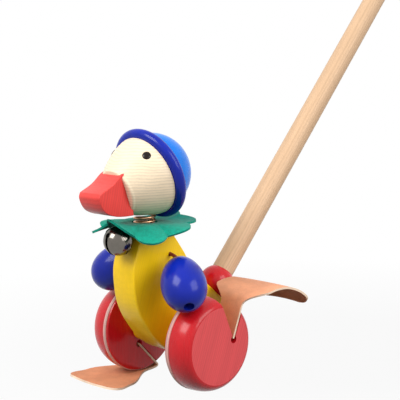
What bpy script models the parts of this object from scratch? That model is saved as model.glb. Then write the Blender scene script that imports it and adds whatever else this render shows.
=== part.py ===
"""Wooden push-along duck: a board body on two wheels with leather feet, a sprung head and a push stick."""

import math

import bmesh
import bpy
import numpy as np
from mathutils import Matrix, Vector

# Driving dimensions, in metres. The duck faces -Y, its left side is +X, and heights count from the floor.
GAP = 0.0003
WELD = 0.00005
WHEEL_RADIUS = 0.032
WHEEL_INNER_X = 0.0295
WHEEL_WIDTH = 0.0201
WHEEL_FLAT_RADIUS = 0.0253
WHEEL_SHOULDER_START = 0.006
TYRE_FROM = 0.0013
TYRE_TO = 0.0047
TYRE_DEPTH = 0.002
TYRE_PROUD = 0.0002
TYRE_EDGE = 0.0004
RIM_STEP = 0.0004
RIM_CHAMFER = 0.0011
AXLE_RADIUS = 0.005
AXLE_DEPTH = 0.0138
SPACER_RADIUS = 0.0095
SPACER_EDGE = 0.0008
SLOT_OFFSET = 0.0106
SLOT_START = 0.007
SLOT_WIDTH = 0.0022
SLOT_STOP_RADIUS = 0.0026
NOTCH_ANGLE = math.radians(44.6)
LEFT_PHASE = math.radians(69.0)
RIGHT_PHASE = math.radians(-46.4)
LEATHER = 0.0014
TAB_HALF_WIDTH = 0.0096
FOOT_HALF_WIDTH = 0.0285
FOOT_LENGTH = 0.064
FOOT_CORNER = 0.012
FOOT_ROWS = 36
FOOT_COLUMNS = 7
RAISED_FOOT = (
    (0.0245, 0.0300), (0.033, 0.0338), (0.047, 0.0352), (0.058, 0.0324), (0.066, 0.0272), (0.0715, 0.0212),
)
RAISED_SPREAD = (0.0, 0.017)
RAISED_CROWN = -0.001
FLAT_FOOT_HEEL = ((0.0144, -0.0304), (0.0149, -0.0314), (0.0140, -0.0322), (0.0095, -0.0330))
FLAT_FOOT_SOLE = ((0.004, 0.0), (-0.006, 0.0), (-0.018, 0.0), (-0.030, 0.0), (-0.040, 0.0004), (-0.0475, 0.0012))
FLAT_SPREAD = (0.010, 0.044)
FLAT_CURL = 0.0006
FLAT_SKEW = 0.0085
AXLE_Z = WHEEL_RADIUS + TYRE_PROUD + GAP + LEATHER

BODY_THICKNESS = 0.022
BODY_EDGE = 0.0022
BODY_TOP = 0.0783
NECK_Y = -0.0223
BODY_OUTLINE = (
    (-0.0335, BODY_TOP), (-0.0365, 0.0665), (-0.041, 0.052), (-0.041, 0.040), (-0.039, 0.028),
    (-0.035, 0.0185), (-0.0295, 0.010), (-0.022, 0.001), (-0.012, -0.007), (0.0, -0.011),
    (0.016, -0.0085), (0.033, 0.0035),
)
BODY_BACK = ((0.014, 0.043), (0.004, 0.058), (-0.005, 0.070), (-0.0112, BODY_TOP))
STICK_RADIUS = 0.008
STICK_SLOPE = math.radians(49.2)
STICK_LENGTH = 0.5
STICK_SOCKET = 0.024
STICK_END_ROUND = 0.0015
BALL_AT = (0.0448, 0.0298)
BALL_RADIUS = 0.0124
TAIL_HALF_WIDTH = 0.011

SPRING_RADIUS = 0.0067
SPRING_WIRE = 0.0018
SPRING_LOW = 0.0715
SPRING_HIGH = 0.0929
SPRING_TURNS = 7
POINTS_PER_TURN = 9
PEG_RADIUS = 0.0047
SOCKET_RADIUS = 0.0084
SOCKET_DEPTH = 0.008
PEG_LENGTH = 0.0165
PEG_SEAT = 0.0082
HEAD_PEG_BELOW = 0.006
HEAD_PEG_LENGTH = 0.0135

HEAD_AT = (-0.0211, 0.1107)
HEAD_RADIUS = 0.0272
HEAD_REACH = 0.039
HEAD_FULLNESS = 1.45
HEAD_FACE = 0.027
HEAD_FACE_EDGE = 0.0016
HEAD_TILT = math.radians(-69.6)
SPIGOT_RADIUS = 0.018
SPIGOT_TOP = 0.014
BRIM_LOW = 0.0
BRIM_HIGH = 0.0078
BRIM_RADIUS = 0.0318
CROWN_RADIUS = 0.0268
CROWN_CENTRE = 0.005
EYE_ALONG = 0.0076
EYE_ROUND = math.radians(138.0)
EYE_RADIUS = 0.0028
EYE_SEAT = 0.0021
EYE_PROUD = 0.0004
BEAK_HALF_WIDTH = 0.0108
BEAK_EDGE = 0.0007
BEAK_OUTLINE = (
    (-0.044, 0.1158), (-0.0502, 0.1138), (-0.0580, 0.1074), (-0.0676, 0.1024), (-0.0684, 0.0992),
    (-0.0667, 0.0945), (-0.0630, 0.0902), (-0.056, 0.0875), (-0.048, 0.0867), (-0.0405, 0.0868),
)
BEAK_DOWEL_RADIUS = 0.003
BEAK_DOWEL_OUT = -0.0335
BEAK_DOWEL_IN = -0.018

COLLAR_INNER = 0.0088
COLLAR_OUTER = 0.035
COLLAR_LOBES = 8
COLLAR_LOBE_DEPTH = 0.26
COLLAR_LOBE_PHASE = math.radians(14)
COLLAR_THICKNESS = 0.0014
COLLAR_HELD = 0.3
COLLAR_FOLD = 0.0012
COLLAR_LEFT = math.radians(59)
COLLAR_HANG = 0.004
COLLAR_TURN_UP = 0.004
COLLAR_WAVE = 0.0012
COLLAR_DROOP = 0.003
COLLAR_OVER_BELL = 0.0125
COLLAR_BELL_ANGLE = math.radians(7)
COLLAR_BELL_SPREAD = math.radians(26)
COLLAR_LOBE_POINTS = 10

WING_LENGTH = 0.042
WING_RADIUS = 0.0149
WING_BORE = 0.0018
WING_MOUTH = 0.0035
WING_EGG = 0.10
WING_COUNTERBORE = 0.4
WING_HOLE_AT = (-0.0094, 0.058)
LEFT_WING_AT = Vector((0.0375, -0.0219, 0.0436))
RIGHT_WING_AT = Vector((0.0302, -0.0205, 0.0462))
WING_AXIS = Vector((-0.704, 0.41, 0.58)).normalized()
CORD_RADIUS = 0.0012
CORD_INSIDE = 0.0045
CORD_ARCH = ((0.0012, 0.0),)
KNOT_RADIUS = 0.003

BELL_RADIUS = 0.0097
BELL_WALL = 0.0007
BELL_TOP = Vector((0.0, 0.87, 0.49)).normalized()
BELL_SLOT = 0.0022
BELL_SLOT_HALF = math.radians(58)
BELL_SLOT_END = 0.00187
STAPLE_AT = Vector((0.003, -0.0347, 0.0763))
STAPLE_RADIUS = 0.0019
STAPLE_LEG = 0.0032
RING_WIRE = 0.00045
RING_RADIUS = 0.0017
PELLET_RADIUS = 0.0026

TURN_STEPS = 32


def new_collection(name):
    collection = bpy.data.collections.new(name)
    bpy.context.scene.collection.children.link(collection)
    return collection


def make_material(name, colour, roughness, metallic=0.0):
    material = bpy.data.materials.new(name)
    material.use_nodes = True
    shader = material.node_tree.nodes["Principled BSDF"]
    shader.inputs["Base Color"].default_value = (*colour, 1.0)
    shader.inputs["Roughness"].default_value = roughness
    shader.inputs["Metallic"].default_value = metallic
    return material


def add_object(name, data, collection, matrix=None):
    obj = bpy.data.objects.new(name, data)
    collection.objects.link(obj)
    if matrix is not None:
        obj.matrix_world = matrix
    return obj


def paint(obj, material):
    obj.data.materials.clear()
    obj.data.materials.append(material)
    if obj.type == "MESH":
        obj.data.shade_smooth()
        obj.data.set_sharp_from_angle(angle=math.radians(35))
    return obj


def frame_along(axis, at):
    """A frame at a point whose +Z runs along the axis."""
    turn = Vector((0, 0, 1)).rotation_difference(Vector(axis)).to_matrix().to_4x4()
    return Matrix.Translation(Vector(at)) @ turn


def side_frame(x=0.0):
    """The frame of a side outline: its X is the object's Y, its Y is up, and its Z points left."""
    return Matrix(((0, 0, 1, x), (1, 0, 0, 0), (0, 1, 0, 0), (0, 0, 0, 1)))


def turned(name, profile, collection, matrix, closed=False, steps=TURN_STEPS):
    """A turned piece: a profile of (radius, height) points, run round its own +Z by a Screw."""
    mesh = bpy.data.meshes.new(name)
    points = [(radius, 0.0, height) for radius, height in profile]
    edges = [(i, i + 1) for i in range(len(points) - 1)]
    if closed:
        edges.append((len(points) - 1, 0))
    mesh.from_pydata(points, edges, [])
    obj = add_object(name, mesh, collection, matrix)
    screw = obj.modifiers.new("Turn", "SCREW")
    screw.steps = screw.render_steps = steps
    screw.use_merge_vertices = True
    screw.merge_threshold = WELD
    return obj


def arc(centre, radius, start, end, count):
    """Points of an arc as (radius, height) pairs; angles count from the +Z axis towards +X."""
    angles = np.radians(np.linspace(start, end, count))
    return [(centre[0] + radius * math.sin(a), centre[1] + radius * math.cos(a)) for a in angles]


def as_mesh(curve_object, collection):
    """The curve's solid as a mesh object with its caps welded; the curve is removed."""
    bpy.context.view_layer.update()
    graph = bpy.context.evaluated_depsgraph_get()
    mesh = bpy.data.meshes.new_from_object(curve_object.evaluated_get(graph))
    name, matrix = curve_object.name, curve_object.matrix_world.copy()
    bpy.data.objects.remove(curve_object)
    work = bmesh.new()
    work.from_mesh(mesh)
    bmesh.ops.remove_doubles(work, verts=work.verts, dist=WELD / 10)
    bmesh.ops.recalc_face_normals(work, faces=work.faces)
    work.to_mesh(mesh)
    work.free()
    return add_object(name, mesh, collection, matrix)


def plate(name, points, half_thickness, collection, matrix, sharp=(), resolution=4):
    """A flat outline through the points, smooth except at the sharp ones, with its thickness."""
    curve = bpy.data.curves.new(name, "CURVE")
    curve.dimensions = "2D"
    curve.fill_mode = "BOTH"
    curve.extrude = half_thickness
    curve.resolution_u = resolution
    spline = curve.splines.new("BEZIER")
    spline.bezier_points.add(len(points) - 1)
    spline.use_cyclic_u = True
    for i, (knot, point) in enumerate(zip(spline.bezier_points, points)):
        knot.co = (*point, 0.0)
        handle = "VECTOR" if i in sharp else "AUTO"
        knot.handle_left_type = knot.handle_right_type = handle
    return as_mesh(add_object(name, curve, collection, matrix), collection)


def tube(name, points, radius, collection, resolution=1, cyclic=False):
    """A wire or cord through the points."""
    curve = bpy.data.curves.new(name, "CURVE")
    curve.dimensions = "3D"
    curve.bevel_depth = radius
    curve.bevel_resolution = resolution
    curve.use_fill_caps = True
    spline = curve.splines.new("POLY")
    spline.points.add(len(points) - 1)
    spline.use_cyclic_u = cyclic
    for knot, point in zip(spline.points, points):
        knot.co = (*point, 1.0)
    return as_mesh(add_object(name, curve, collection), collection)


def cylinder(name, start, end, radius, collection, sides=24, end_round=0.0):
    start, end = Vector(start), Vector(end)
    length = (end - start).length
    mesh = bpy.data.meshes.new(name)
    work = bmesh.new()
    bmesh.ops.create_cone(
        work, cap_ends=True, segments=sides, radius1=radius, radius2=radius, depth=length
    )
    work.to_mesh(mesh)
    work.free()
    obj = add_object(name, mesh, collection, frame_along(end - start, (start + end) / 2))
    if end_round:
        bevel = obj.modifiers.new("Rounded ends", "BEVEL")
        bevel.width = end_round
        bevel.segments = 2
    return obj


def block(name, size, collection, matrix):
    mesh = bpy.data.meshes.new(name)
    work = bmesh.new()
    bmesh.ops.create_cube(work, size=1.0, matrix=Matrix.Diagonal((*size, 1.0)))
    work.to_mesh(mesh)
    work.free()
    return add_object(name, mesh, collection, matrix)


def ball(name, at, radius, collection, segments=16, rings=10):
    mesh = bpy.data.meshes.new(name)
    work = bmesh.new()
    bmesh.ops.create_uvsphere(work, u_segments=segments, v_segments=rings, radius=radius)
    work.to_mesh(mesh)
    work.free()
    return add_object(name, mesh, collection, Matrix.Translation(at))


def cut(obj, *cutters):
    for cutter in cutters:
        cutter.hide_render = True
        cutter.display_type = "WIRE"
        boolean = obj.modifiers.new("Cut " + cutter.name, "BOOLEAN")
        boolean.operation = "DIFFERENCE"
        boolean.object = cutter
    return obj


def smooth_path(points, count):
    """Evenly spaced points on a smooth curve through the given ones, worked out as cubic pieces."""
    knots = [Vector(p) for p in points]
    ends = [2 * knots[0] - knots[1], *knots, 2 * knots[-1] - knots[-2]]
    fine = []
    for i in range(len(knots) - 1):
        before, start, end, after = ends[i : i + 4]
        for t in np.linspace(0.0, 1.0, 24, endpoint=False):
            pull = (end - before) * t + (2 * before - 5 * start + 4 * end - after) * t * t
            bend = (3 * start - before - 3 * end + after) * t**3
            fine.append(start + 0.5 * (pull + bend))
    fine.append(knots[-1])
    steps = [0.0]
    for a, b in zip(fine, fine[1:]):
        steps.append(steps[-1] + (b - a).length)
    wanted = np.linspace(0.0, steps[-1], count)
    columns = [np.interp(wanted, steps, [p[k] for p in fine]) for k in range(len(fine[0]))]
    return [Vector(p) for p in zip(*columns)]


def smoothstep(low, high, value):
    t = min(max((value - low) / (high - low), 0.0), 1.0)
    return t * t * (3 - 2 * t)


def sheet(name, grid, thickness, collection, wrap=False):
    """A sheet from a grid of points, given its thickness by Solidify."""
    mesh = bpy.data.meshes.new(name)
    rows, columns = len(grid), len(grid[0])
    points = [tuple(point) for row in grid for point in row]
    last = columns if wrap else columns - 1
    faces = []
    for i in range(rows - 1):
        for j in range(last):
            k = (j + 1) % columns
            row, after = i * columns, (i + 1) * columns
            faces.append((row + j, row + k, after + k, after + j))
    mesh.from_pydata(points, [], faces)
    obj = add_object(name, mesh, collection)
    wall = obj.modifiers.new("Thickness", "SOLIDIFY")
    wall.thickness = thickness
    wall.offset = 0.0
    return obj


class Duck:
    """Holds the collections, the joint empties and the finishes while the pieces are made."""

    def __init__(self):
        self.parts = new_collection("push_along_duck")
        self.cutters = new_collection("push_along_duck_cutters")
        self.red = make_material("red_stain", (0.62, 0.02, 0.02), 0.3)
        self.yellow = make_material("yellow_stain", (0.9, 0.52, 0.02), 0.35)
        self.blue = make_material("blue_lacquer", (0.02, 0.03, 0.42), 0.2)
        self.sky = make_material("light_blue_lacquer", (0.02, 0.12, 0.62), 0.25)
        self.maple = make_material("pale_maple", (0.78, 0.62, 0.42), 0.45)
        self.beech = make_material("pale_beech", (0.72, 0.48, 0.30), 0.45)
        self.dark = make_material("dark_stain", (0.03, 0.02, 0.015), 0.3)
        self.rubber = make_material("pale_rubber", (0.72, 0.42, 0.38), 0.7)
        self.leather = make_material("tan_leather", (0.62, 0.36, 0.22), 0.75)
        self.felt = make_material("green_felt", (0.0, 0.22, 0.16), 0.95)
        self.nickel = make_material("nickel", (0.75, 0.72, 0.66), 0.18, 1.0)
        self.copper = make_material("coppered_wire", (0.62, 0.38, 0.22), 0.3, 1.0)
        self.cord = make_material("red_cord", (0.35, 0.05, 0.04), 0.9)
        self.root = add_object("duck_root", None, self.parts)

    def joint(self, name, at, parent=None):
        empty = add_object(name, None, self.parts, Matrix.Translation(at))
        self.attach(empty, parent or self.root)
        return empty

    def attach(self, obj, parent):
        bpy.context.view_layer.update()
        obj.parent = parent
        obj.matrix_parent_inverse = parent.matrix_world.inverted()

    def finish(self, obj, material, parent=None):
        paint(obj, material)
        self.attach(obj, parent or self.root)
        return obj


def stick_point(along):
    """A point on the stick's axis, counted from the tail ball's centre up the stick."""
    return Vector(
        (
            0.0,
            BALL_AT[0] + along * math.cos(STICK_SLOPE),
            BALL_AT[1] + along * math.sin(STICK_SLOPE),
        )
    )


def ball_half_height():
    return math.sqrt(BALL_RADIUS**2 - (STICK_RADIUS + GAP) ** 2)


def stick_foot():
    """How far below the ball's centre the stick ends, at the bottom of its socket."""
    return -ball_half_height() - 2 * GAP - STICK_SOCKET


def add_body(duck):
    tail = stick_point(stick_foot() + STICK_SOCKET)
    side = Vector((0.0, -math.sin(STICK_SLOPE), math.cos(STICK_SLOPE))) * TAIL_HALF_WIDTH
    outline = [*BODY_OUTLINE, (tail - side).yz[:], (tail + side).yz[:], *BODY_BACK]
    sharp = (0, 12, 13, 17)
    body = plate("body_plate", outline, BODY_THICKNESS / 2, duck.parts, side_frame(), sharp)
    edge = body.modifiers.new("Rounded edges", "BEVEL")
    edge.width = BODY_EDGE
    edge.segments = 2
    edge.limit_method = "ANGLE"
    edge.angle_limit = math.radians(50)
    wide = BODY_THICKNESS
    neck_low = BODY_TOP - SOCKET_DEPTH
    peg_low = neck_low - PEG_SEAT - GAP
    cutters = duck.cutters
    above = BODY_TOP + SOCKET_DEPTH
    cut(
        body,
        cylinder("axle_bore", (-wide, 0, 0), (wide, 0, 0), AXLE_RADIUS + GAP, cutters),
        cylinder("spring_socket", (0, NECK_Y, neck_low), (0, NECK_Y, above), SOCKET_RADIUS, cutters),
        cylinder("neck_peg_hole", (0, NECK_Y, peg_low), (0, NECK_Y, BODY_TOP), PEG_RADIUS + GAP, cutters, 16),
        cylinder(
            "stick_socket", stick_point(stick_foot() - GAP), stick_point(STICK_SOCKET), STICK_RADIUS + GAP, cutters
        ),
    )
    for side, name in ((1, "left"), (-1, "right")):
        mouth = Vector((side * wide / 2, *WING_HOLE_AT))
        reach = Vector((side * (CORD_INSIDE + GAP), 0, 0))
        cord_hole = cylinder(f"cord_hole_{name}", mouth - reach, mouth + reach, CORD_RADIUS + GAP, cutters, 12)
        leg = STAPLE_AT + Vector((side * STAPLE_RADIUS, 0, 0))
        leg_end = leg + Vector((0, STAPLE_LEG + GAP, 0))
        cut(body, cord_hole, cylinder(f"staple_hole_{name}", leg, leg_end, RING_WIRE + GAP, cutters, 8))
    duck.finish(body, duck.yellow)


def add_stick(duck):
    foot = stick_foot()
    stick = cylinder(
        "push_stick", stick_point(foot), stick_point(foot + STICK_LENGTH), STICK_RADIUS, duck.parts,
        end_round=STICK_END_ROUND,
    )
    duck.finish(stick, duck.beech)
    half = ball_half_height()
    bore = STICK_RADIUS + GAP
    open_angle = math.degrees(math.acos(half / BALL_RADIUS))
    profile = [*arc((0, 0), BALL_RADIUS, open_angle, 180 - open_angle, 11)]
    tail = turned("tail_ball", [(bore, half), *profile[1:-1], (bore, -half)], duck.parts,
                  frame_along(stick_point(1) - stick_point(0), stick_point(0)), closed=True, steps=24)
    duck.finish(tail, duck.red)


def slot_frame(phase, x):
    """The frame of a wheel's saw slot: +X runs out along the slot and +Z across the wheel."""
    out = Vector((0, math.cos(phase), math.sin(phase)))
    aside = Vector((0, math.sin(phase), -math.cos(phase)))
    across = out.cross(-aside)
    matrix = Matrix((out, -aside, across)).transposed().to_4x4()
    return Matrix.Translation(Vector((x, 0, 0)) + aside * SLOT_OFFSET) @ matrix


def wheel_profile():
    shoulder = []
    for angle in np.radians(np.linspace(0, 90, 8)):
        shoulder.append(
            (
                WHEEL_FLAT_RADIUS + (WHEEL_RADIUS - WHEEL_FLAT_RADIUS) * math.sin(angle),
                WHEEL_SHOULDER_START + (WHEEL_WIDTH - WHEEL_SHOULDER_START) * math.cos(angle),
            )
        )
    groove = WHEEL_RADIUS - TYRE_DEPTH
    rim = WHEEL_RADIUS - RIM_STEP
    bore = AXLE_RADIUS + GAP
    return [
        (0.0, WHEEL_WIDTH), *shoulder, (WHEEL_RADIUS, TYRE_TO), (groove, TYRE_TO), (groove, TYRE_FROM),
        (rim, TYRE_FROM), (rim - RIM_CHAMFER, 0.0), (bore, 0.0), (bore, AXLE_DEPTH + GAP), (0.0, AXLE_DEPTH + GAP),
    ]


def add_wheel(duck, spin, side, name, phase, notched):
    """One wheel with its tyre and spacer; side is +1 for the duck's left. A notch opens the slot to one side."""
    face = frame_along((side, 0, 0), (side * WHEEL_INNER_X, 0, 0))
    wheel = turned(f"wheel_{name}", wheel_profile(), duck.parts, face)
    middle = side * (WHEEL_INNER_X + WHEEL_WIDTH / 2)
    slot = slot_frame(phase, middle)
    length = WHEEL_RADIUS * 1.5
    saw = (length, SLOT_WIDTH, 2 * WHEEL_WIDTH)
    sawn = slot @ Matrix.Translation((SLOT_START + length / 2, 0, 0))
    across = Vector((WHEEL_WIDTH, 0, 0))
    stop = slot @ Vector((SLOT_START, 0, 0))
    openings = [
        block(f"slot_{name}", saw, duck.cutters, sawn),
        cylinder(f"slot_stop_{name}", stop - across, stop + across, SLOT_STOP_RADIUS, duck.cutters, 14),
    ]
    tyre_openings = [block(f"tyre_slot_{name}", saw, duck.cutters, sawn)]
    if notched:
        apex = Vector((SLOT_START, 0))
        opened = Vector((math.cos(NOTCH_ANGLE), math.sin(NOTCH_ANGLE)))
        notch = [apex, apex + Vector((length, 0)), apex + length * opened]
        openings.append(plate(f"notch_{name}", notch, WHEEL_WIDTH, duck.cutters, slot, (0, 1, 2)))
        tyre_openings.append(plate(f"tyre_notch_{name}", notch, WHEEL_WIDTH, duck.cutters, slot, (0, 1, 2)))
    cut(wheel, *openings)
    duck.finish(wheel, duck.red, spin)
    outer = WHEEL_RADIUS + TYRE_PROUD
    inner = WHEEL_RADIUS - TYRE_DEPTH + GAP
    low, high = TYRE_FROM + GAP, TYRE_TO - GAP
    band = [
        (inner, high), (outer - TYRE_EDGE, high), (outer, high - TYRE_EDGE), (outer, low + TYRE_EDGE),
        (outer - TYRE_EDGE, low), (inner, low),
    ]
    tyre = turned(f"tyre_{name}", band, duck.parts, face, closed=True)
    cut(tyre, *tyre_openings)
    duck.finish(tyre, duck.rubber, spin)
    start, end = side * (BODY_THICKNESS / 2 + GAP), side * (WHEEL_INNER_X - GAP)
    spacer = cylinder(
        f"axle_spacer_{name}", (start, 0, 0), (end, 0, 0), SPACER_RADIUS, duck.parts, end_round=SPACER_EDGE
    )
    bore = cylinder(f"spacer_bore_{name}", (0, 0, 0), (2 * end, 0, 0), AXLE_RADIUS + GAP, duck.cutters)
    cut(spacer, bore)
    duck.finish(spacer, duck.yellow, spin)


def web_half_width(past_rim, spread_over):
    """Half the foot's width at a length past the wheel's rim: a narrow tab, a broad web, round front corners."""
    start, end = spread_over
    spread = 0.8 * smoothstep(start, end, past_rim) + 0.2 * smoothstep(end, FOOT_LENGTH, past_rim)
    half = TAB_HALF_WIDTH + (FOOT_HALF_WIDTH - TAB_HALF_WIDTH) * spread
    into_corner = max(past_rim - (FOOT_LENGTH - FOOT_CORNER), 0.0) / FOOT_CORNER
    return half - FOOT_CORNER * (1 - math.sqrt(max(1 - min(into_corner, 1.0) ** 2, 0.0)))


def add_foot(duck, spin, name, phase, x, bends, spread_over, lift, skew=0.0):
    """A leather foot: a web that leaves the slot and follows the bends, given as (y, z) from the axle."""
    slot = slot_frame(phase, x)
    inner = SLOT_START + 2 * GAP
    rim = math.sqrt(WHEEL_RADIUS**2 - SLOT_OFFSET**2)
    tab = [(slot @ Vector((inner + (rim - inner) * t, 0, 0))).yz for t in (0, 0.33, 0.66, 1)]
    path = smooth_path([Vector(p) for p in (*tab, *bends)], FOOT_ROWS)
    length = sum((b - a).length for a, b in zip(path, path[1:]))
    tab_length = rim - inner
    sides = np.linspace(-1, 1, FOOT_COLUMNS)
    grid = []
    for i, point in enumerate(path):
        along = length * i / (len(path) - 1)
        past_rim = (along - tab_length) * FOOT_LENGTH / (length - tab_length)
        half = web_half_width(past_rim, spread_over)
        free = smoothstep(FOOT_CORNER, FOOT_LENGTH, past_rim)
        middle = x + skew * free
        grid.append([(middle + s * half, point.x, point.y + lift * free * s * s) for s in sides])
    foot = sheet(f"foot_{name}", grid, LEATHER, duck.parts)
    duck.finish(foot, duck.leather, spin)


def add_running_gear(duck):
    spin = duck.joint("wheel_axis", (0, 0, 0))
    half = WHEEL_INNER_X + AXLE_DEPTH
    axle = cylinder("axle", (-half, 0, 0), (half, 0, 0), AXLE_RADIUS, duck.parts)
    duck.finish(axle, duck.beech, spin)
    add_wheel(duck, spin, 1, "left", LEFT_PHASE, True)
    add_wheel(duck, spin, -1, "right", RIGHT_PHASE, False)
    middle = WHEEL_INNER_X + WHEEL_WIDTH / 2
    add_foot(duck, spin, "left", LEFT_PHASE, middle, RAISED_FOOT, RAISED_SPREAD, RAISED_CROWN)
    under = -AXLE_Z + LEATHER / 2
    sole = [(y, under + rise) for y, rise in FLAT_FOOT_SOLE]
    bends = (*FLAT_FOOT_HEEL, *sole)
    add_foot(duck, spin, "right", RIGHT_PHASE, -middle, bends, FLAT_SPREAD, FLAT_CURL, FLAT_SKEW)


def spring_points():
    """The helix of the neck spring, with each end run out straight for one wire diameter."""
    count = SPRING_TURNS * POINTS_PER_TURN
    angles = np.linspace(0.0, 2 * math.pi * SPRING_TURNS, count + 1)
    heights = np.linspace(SPRING_LOW + SPRING_WIRE / 2, SPRING_HIGH - SPRING_WIRE / 2, count + 1)
    r = SPRING_RADIUS
    helix = [Vector((r * math.cos(a), NECK_Y + r * math.sin(a), z)) for a, z in zip(angles, heights)]
    first = (helix[0] - helix[1]).normalized() * SPRING_WIRE
    last = (helix[-1] - helix[-2]).normalized() * SPRING_WIRE
    return [helix[0] + first, *helix, helix[-1] + last]


def report_spring_gap(points):
    """Prints the least clear gap between neighbouring turns."""
    places = np.array([p[:] for p in points])
    apart = np.linalg.norm(places[:, None] - places[None], axis=2)
    far = np.abs(np.subtract.outer(np.arange(len(places)), np.arange(len(places)))) >= POINTS_PER_TURN - 2
    print(f"neck spring: least gap between turns {1000 * (apart[far].min() - SPRING_WIRE):.2f} mm")


def head_local(axis_height):
    """A point on the head's own axis, which runs from the beak back up to the crown."""
    out = Matrix.Rotation(HEAD_TILT, 3, "X") @ Vector((0, 0, 1))
    return Vector((0.0, *HEAD_AT)) + out * axis_height


def add_neck(duck):
    nod = duck.joint("neck_joint", (0, NECK_Y, (SPRING_LOW + SPRING_HIGH) / 2))
    points = spring_points()
    report_spring_gap(points)
    duck.finish(tube("neck_spring", points, SPRING_WIRE / 2, duck.parts), duck.copper, nod)
    low = BODY_TOP - SOCKET_DEPTH - PEG_SEAT
    peg = cylinder("neck_peg", (0, NECK_Y, low), (0, NECK_Y, low + PEG_LENGTH), PEG_RADIUS, duck.parts, 16)
    duck.finish(peg, duck.beech)
    return nod


def head_radius_at(along):
    """The head's radius at a length from the brim towards the beak."""
    return HEAD_RADIUS * (1 - (along / HEAD_REACH) ** HEAD_FULLNESS) ** (1 / HEAD_FULLNESS)


def head_skin(grown=0.0):
    """The head's profile from the brim to the flat that the beak sits on."""
    skin = []
    for along in np.linspace(BRIM_LOW, HEAD_FACE - HEAD_FACE_EDGE, 12):
        skin.append((head_radius_at(along) + grown, -along))
    face = HEAD_FACE + grown
    return [*skin, (skin[-1][0] - HEAD_FACE_EDGE, -face), (0, -face)]


def eye_place(side):
    """A point on the head's skin and the way out of it, for the eye on that side."""
    round_way = Vector((side * math.sin(EYE_ROUND), math.cos(EYE_ROUND), 0.0))
    slope = (head_radius_at(EYE_ALONG + GAP) - head_radius_at(EYE_ALONG - GAP)) / (2 * GAP)
    out = (round_way + Vector((0, 0, slope))).normalized()
    turn = Matrix.Rotation(HEAD_TILT, 3, "X")
    return head_local(-EYE_ALONG) + turn @ (round_way * head_radius_at(EYE_ALONG)), turn @ out


def add_head(duck, nod):
    tilted = Matrix.Translation(head_local(0)) @ Matrix.Rotation(HEAD_TILT, 4, "X")
    spigot = [(0, SPIGOT_TOP), (SPIGOT_RADIUS, SPIGOT_TOP), (SPIGOT_RADIUS, BRIM_LOW)]
    head = turned("head", [*spigot, *head_skin()], duck.parts, tilted)
    peg_low = SPRING_HIGH - HEAD_PEG_BELOW
    peg_high = peg_low + HEAD_PEG_LENGTH
    cutters = duck.cutters
    spring_top = (0, NECK_Y, SPRING_HIGH + GAP)
    below = (0, NECK_Y, SPRING_LOW)
    dowel_in = head_local(BEAK_DOWEL_IN + GAP)
    cut(
        head,
        cylinder("head_socket", below, spring_top, SOCKET_RADIUS, cutters),
        cylinder("head_peg_hole", below, (0, NECK_Y, peg_high + GAP), PEG_RADIUS + GAP, cutters, 16),
        cylinder("beak_dowel_hole", head_local(-2 * HEAD_RADIUS), dowel_in, BEAK_DOWEL_RADIUS + GAP, cutters, 16),
    )
    for side, name in ((1, "left"), (-1, "right")):
        at, out = eye_place(side)
        seat, face = at - out * EYE_SEAT, at + out * EYE_PROUD
        deep = seat - out * GAP
        cut(head, cylinder(f"eye_hole_{name}", deep, face + out * EYE_SEAT, EYE_RADIUS + GAP, cutters, 16))
        eye = cylinder(f"eye_{name}", seat, face, EYE_RADIUS, duck.parts, 16, end_round=EYE_PROUD)
        duck.finish(eye, duck.dark, nod)
    duck.finish(head, duck.maple, nod)
    peg = cylinder("head_peg", (0, NECK_Y, peg_low), (0, NECK_Y, peg_high), PEG_RADIUS, duck.parts, 16)
    duck.finish(peg, duck.beech, nod)
    bore = SPIGOT_RADIUS + GAP
    brim_low = BRIM_LOW + GAP
    roll = (BRIM_HIGH - brim_low) / 2
    rounding = arc((BRIM_RADIUS - roll, brim_low + roll), roll, 0, 180, 9)
    brim = turned("cap_brim", [(bore, BRIM_HIGH), *rounding, (bore, brim_low)], duck.parts, tilted, closed=True)
    duck.finish(brim, duck.blue, nod)
    base = BRIM_HIGH + GAP
    base_angle = math.degrees(math.acos((base - CROWN_CENTRE) / CROWN_RADIUS))
    dome = arc((0, CROWN_CENTRE), CROWN_RADIUS, 0, base_angle, 9)
    top = SPIGOT_TOP + GAP
    profile = [(0, dome[0][1]), *dome[1:], (bore, base), (bore, top), (0, top)]
    crown = turned("cap_crown", profile, duck.parts, tilted)
    duck.finish(crown, duck.sky, nod)
    add_beak(duck, nod, tilted)


def add_beak(duck, nod, tilted):
    beak = plate("beak", BEAK_OUTLINE, BEAK_HALF_WIDTH, duck.parts, side_frame(), (0, 3, 9), 3)
    edge = beak.modifiers.new("Rounded edges", "BEVEL")
    edge.width = BEAK_EDGE
    edge.segments = 1
    edge.limit_method = "ANGLE"
    edge.angle_limit = math.radians(50)
    seat = turned("beak_seat", [(0, 0), *head_skin(GAP)], duck.cutters, tilted)
    tip = head_local(BEAK_DOWEL_OUT)
    deep = head_local(BEAK_DOWEL_OUT - GAP)
    cut(beak, seat, cylinder("beak_bore", deep, head_local(0), BEAK_DOWEL_RADIUS + GAP, duck.cutters, 16))
    duck.finish(beak, duck.red, nod)
    dowel = cylinder("beak_dowel", tip, head_local(BEAK_DOWEL_IN), BEAK_DOWEL_RADIUS, duck.parts, 16)
    duck.finish(dowel, duck.beech, nod)


def collar_lift(angle):
    """How far the collar's edge stands above its neck: it hangs on the left front and turns up behind."""
    turned_left = angle - COLLAR_LEFT
    swing = COLLAR_TURN_UP * math.sin(turned_left) - COLLAR_HANG * math.cos(turned_left)
    wave = COLLAR_WAVE * math.cos(2 * turned_left)
    over_bell = COLLAR_OVER_BELL * math.exp(-(((angle - COLLAR_BELL_ANGLE) / COLLAR_BELL_SPREAD) ** 2))
    return swing - wave - COLLAR_DROOP + over_bell


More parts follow.
